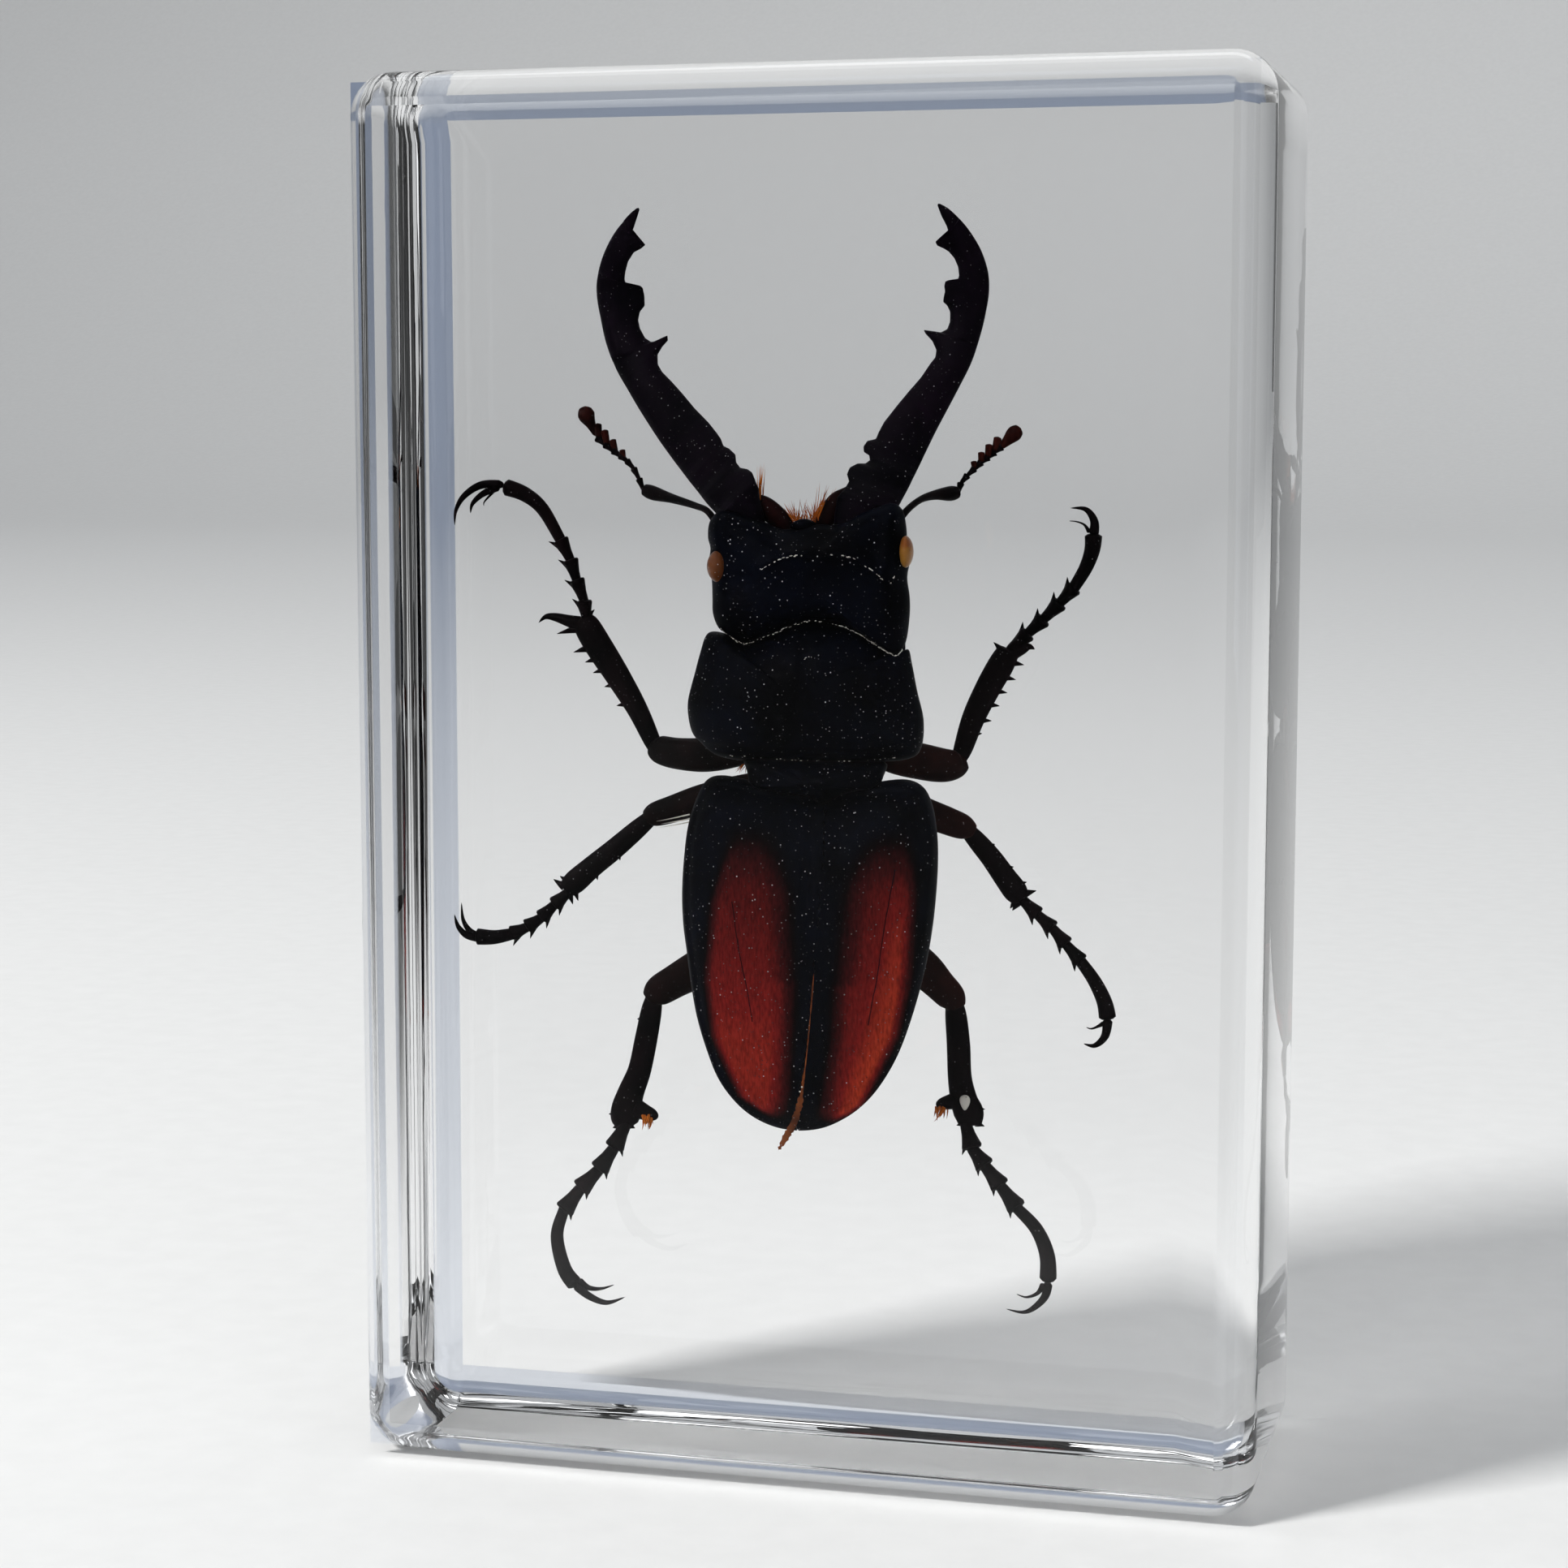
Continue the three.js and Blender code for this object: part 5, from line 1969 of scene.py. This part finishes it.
                    (5.4, 54.4, 12.8, 0.9), (7.4, 53.3, 13.6, 1.1), (9, 52.5, 14.3, 1.15), (10.4, 51.9, 15, 1.12),
                    (11.6, 51.4, 15.6, 0.98), (12.4, 51, 15.9, 0.5),
                ),
                tibia=(
                    (11.7, 51.3, 15.8, 0.55), (12.6, 50.3, 16, 0.7), (13.7, 49, 16.2, 0.78),
                    (14.7, 47.6, 16.4, 0.84), (15.6, 46.4, 16.5, 0.88), (16.1, 45.7, 16.5, 0.6),
                ),
                spines=(
                    (0.3, -1, 0.12), (0.55, -1, 0.15), (0.75, -1, 0.2), (0.9, -1, 0.55), (0.92, 1, 0.35),
                    (0.99, 1, 0.4),
                ),
                foot=(
                    (16, 45.9, 16.5), (17.4, 44.6, 16.5), (18.6, 43.6, 16.3), (19.7, 42.4, 16.1), (20.9, 41.1, 16),
                    (22, 39.6, 15.9), (22.8, 38, 15.8), (23.1, 36.6, 15.6),
                ),
                claws=(
                    ((23.1, 36.8, 15.6, 0.42), (22.9, 35.4, 15.5, 0.33), (22.1, 34.6, 15.5, 0.2),
                     (21.2, 34.7, 15.5, 0.03)),
                    ((22.8, 36.4, 15.6, 0.22), (22.3, 36.1, 15.6, 0.12), (21.8, 35.9, 15.6, 0.07),
                     (21.4, 36, 15.6, 0.03)),
                ),
                thigh=RED_THIGH,
            ),
            Leg(
                Side.RIGHT, Pair.HIND, self.details,
                femur=(
                    (5, 43.6, 13, 0.9), (6.8, 42, 13.5, 1.35), (8.6, 40.3, 14, 1.5), (9.8, 39, 14.5, 1.32),
                    (10.8, 37.9, 14.9, 1.15), (11.3, 37, 15, 0.6),
                ),
                tibia=(
                    (10.9, 37.9, 15, 0.55), (11.1, 36.6, 15, 0.78), (11.3, 34.2, 15.2, 0.86),
                    (11.4, 31.6, 15.4, 0.88), (11.7, 29.8, 15.6, 1), (12.1, 28.6, 15.8, 1.1),
                    (12.2, 27.6, 15.8, 0.8),
                ),
                spines=((0.8, -1, 0.15), (0.95, -1, 0.2), (0.95, 1, 0.12)),
                foot=(
                    (11.9, 27.7, 15.6), (12.5, 25.9, 15.1), (13.6, 24.6, 14.7), (14.9, 23.1, 14.4),
                    (16.3, 21.5, 13.9), (17.9, 20, 13.4), (18.8, 18, 13.1), (18.9, 15.8, 12.9),
                ),
                claws=(
                    ((18.9, 16, 12.9, 0.42), (18.7, 14.8, 12.8, 0.33), (17.8, 13.8, 12.7, 0.23),
                     (16.9, 13.4, 12.7, 0.13), (15.6, 13.6, 12.6, 0.03)),
                    ((18.6, 15.8, 12.9, 0.3), (18.1, 15, 12.9, 0.17), (17.2, 14.6, 12.9, 0.09),
                     (16.4, 14.8, 12.9, 0.03)),
                ),
                horns=(
                    ((11.7, 29.9, 15.6, 0.8), (10.8, 29.55, 15.6, 0.65), (9.9, 29.3, 15.6, 0.45),
                     (9.45, 29.2, 15.6, 0.15)),
                ),
                brush=(10, 29, 15.5, 188, 0.5),
                bubble=(11.9, 29.6, 14.85),
                foot_radius=0.84,
                thigh=RED_THIGH,
            ),
        ]

    def build(self) -> None:
        """Builds and dresses every piece of the beetle."""
        Trunk(self.details).build()
        jaw_chitin = JAW.material()
        for jaw in self.jaws():
            jaw.dress(jaw.build(), jaw_chitin)
        for antenna in self.antennae():
            antenna.dress(antenna.build())
        for eye in self.eyes():
            eye.dress(eye.build())
        mouth = Mouth(self.details)
        mouth.dress(mouth.build())
        shard = WingShard()
        shard.dress(shard.build())
        for leg in self.legs():
            leg.build()
            LOG.info("leg %s done", leg.name)


# Studio


@dataclass
class Studio:
    """Pale table and backdrop, soft lights and the camera at the photo's angle.

    The camera's place is in millimetres, its turns are radians and the table's sizes are metres.
    """

    camera_place: Row = (62.87, -251.9, 83.85)
    yaw: float = 0.259
    pitch: float = 0.114
    lens: float = 74.87
    room: float = 0.55
    dark: float = 0.02
    room_colour: Row = (0.95, 0.975, 1, 1)
    floor: Row = (9, 6.4)
    wall: float = 3.5
    curve: float = 1.2

    def build_table(self) -> None:
        """Makes a pale table that curves up into a backdrop far behind the block."""
        bpy.ops.object.select_all(action="DESELECT")
        bpy.ops.mesh.primitive_plane_add(size=1, location=(0, 0, 0))
        table = bpy.context.object
        table.name = table.data.name = "table"
        table.data.transform(Matrix.Diagonal((*self.floor, 1, 1)))
        rear, low = 3, 0.1
        pick_edges(table, lambda a, b: min(a.y, b.y) > rear)
        bpy.ops.mesh.extrude_region_move(TRANSFORM_OT_translate={"value": (0, 0, self.wall)})
        bpy.ops.object.mode_set(mode="OBJECT")
        pick_edges(table, lambda a, b: min(a.y, b.y) > rear and max(a.z, b.z) < low)
        bpy.ops.mesh.bevel(offset=self.curve, segments=24, profile=0.5)
        bpy.ops.object.mode_set(mode="OBJECT")
        bpy.ops.object.shade_smooth()
        # The table's colour carries painted shade: dark in front of the block and varying with distance.
        table.data.materials.append(TABLE.material())

    def add_light(self, name: str, spot: Vector, aim: Vector, size: float, power: float, colour: Row) -> None:
        """Adds one soft square light.

        Args:
            name: the light's name.
            spot: its place, in metres.
            aim: the point that it faces.
            size: its side, in metres.
            power: its power, in watts.
            colour: its colour.
        """
        data = bpy.data.lights.new(name, "AREA")
        data.shape, data.size, data.energy, data.color = "SQUARE", size, power, colour
        light = bpy.data.objects.new(name, data)
        light.location = spot
        light.rotation_euler = (aim - spot).to_track_quat("-Z", "Y").to_euler()
        bpy.context.scene.collection.objects.link(light)

    def build_lights(self) -> None:
        """Lights the block from the front left, with a low fill from the right and a soft light on the backdrop."""
        middle = Vector((0, 0, 0.05))
        self.add_light("key", Vector((-0.84, -0.82, 0.98)), middle, 0.3, 22, (1, 0.99, 0.97))
        self.add_light("fill", Vector((0.95, -0.95, 0.4)), middle, 1.1, 4, (0.97, 0.98, 1))
        self.add_light("backdrop", Vector((0, 1.5, 2.6)), Vector((0, 3.2, 0.6)), 2.0, 16, (1, 1, 1))
        self.build_room()

    def build_room(self) -> None:
        """Surrounds the scene with a soft room: bright above and behind, dimmer to the right, dark low in front."""
        world = bpy.context.scene.world or bpy.data.worlds.new("room")
        bpy.context.scene.world = world
        world.use_nodes = True
        tree = world.node_tree
        way = tree.nodes.new("ShaderNodeTexCoord").outputs["Generated"]
        split = add_node(tree, "SeparateXYZ", {"Vector": way})

        def step(axis: str, low: float, high: float, start: float, end: float) -> Socket:
            """Returns a smooth step along one axis of the view into the room."""
            inputs = {"Value": split.outputs[axis], "From Min": low, "From Max": high, "To Min": start, "To Max": end}
            return add_node(tree, "MapRange", inputs, interpolation_type="SMOOTHSTEP").outputs["Result"]

        above, behind = step("Z", 0.16, 0.5, self.dark, 1), step("Y", 0.3, 0.75, self.dark, 1)
        lit = maths(tree, "MULTIPLY", maths(tree, "MAXIMUM", above, behind), step("X", -0.9, 0.9, 1.2, 0.6))
        shade = tree.nodes["Background"]
        shade.inputs["Color"].default_value = self.room_colour
        tree.links.new(maths(tree, "MULTIPLY", lit, self.room), shade.inputs["Strength"])

    def build_camera(self) -> None:
        """Places the camera."""
        data = bpy.data.cameras.new("camera")
        data.lens = self.lens
        data.sensor_width = 36
        data.clip_start, data.clip_end = 0.01, 50
        camera = bpy.data.objects.new("camera", data)
        camera.location = Vector(self.camera_place) * MM
        level = math.cos(self.pitch)
        look = Vector((-math.sin(self.yaw) * level, math.cos(self.yaw) * level, -math.sin(self.pitch)))
        camera.rotation_euler = look.to_track_quat("-Z", "Y").to_euler()
        bpy.context.scene.collection.objects.link(camera)
        bpy.context.scene.camera = camera
        bpy.context.scene.view_settings.view_transform = "Standard"

    def build(self) -> None:
        """Builds table, lights and camera."""
        self.build_table()
        self.build_lights()
        self.build_camera()


def main() -> None:
    """Builds the beetle, the block around it and the studio; each piece reports itself through the log."""
    logging.basicConfig(level=logging.INFO, format="%(name)s: %(message)s")
    note_size()
    details = Details()
    Beetle(details).build()
    details.clear()
    block = ResinBlock()
    block.dress(block.build())
    Studio().build()
    note_size()


if __name__ == "__main__":
    main()
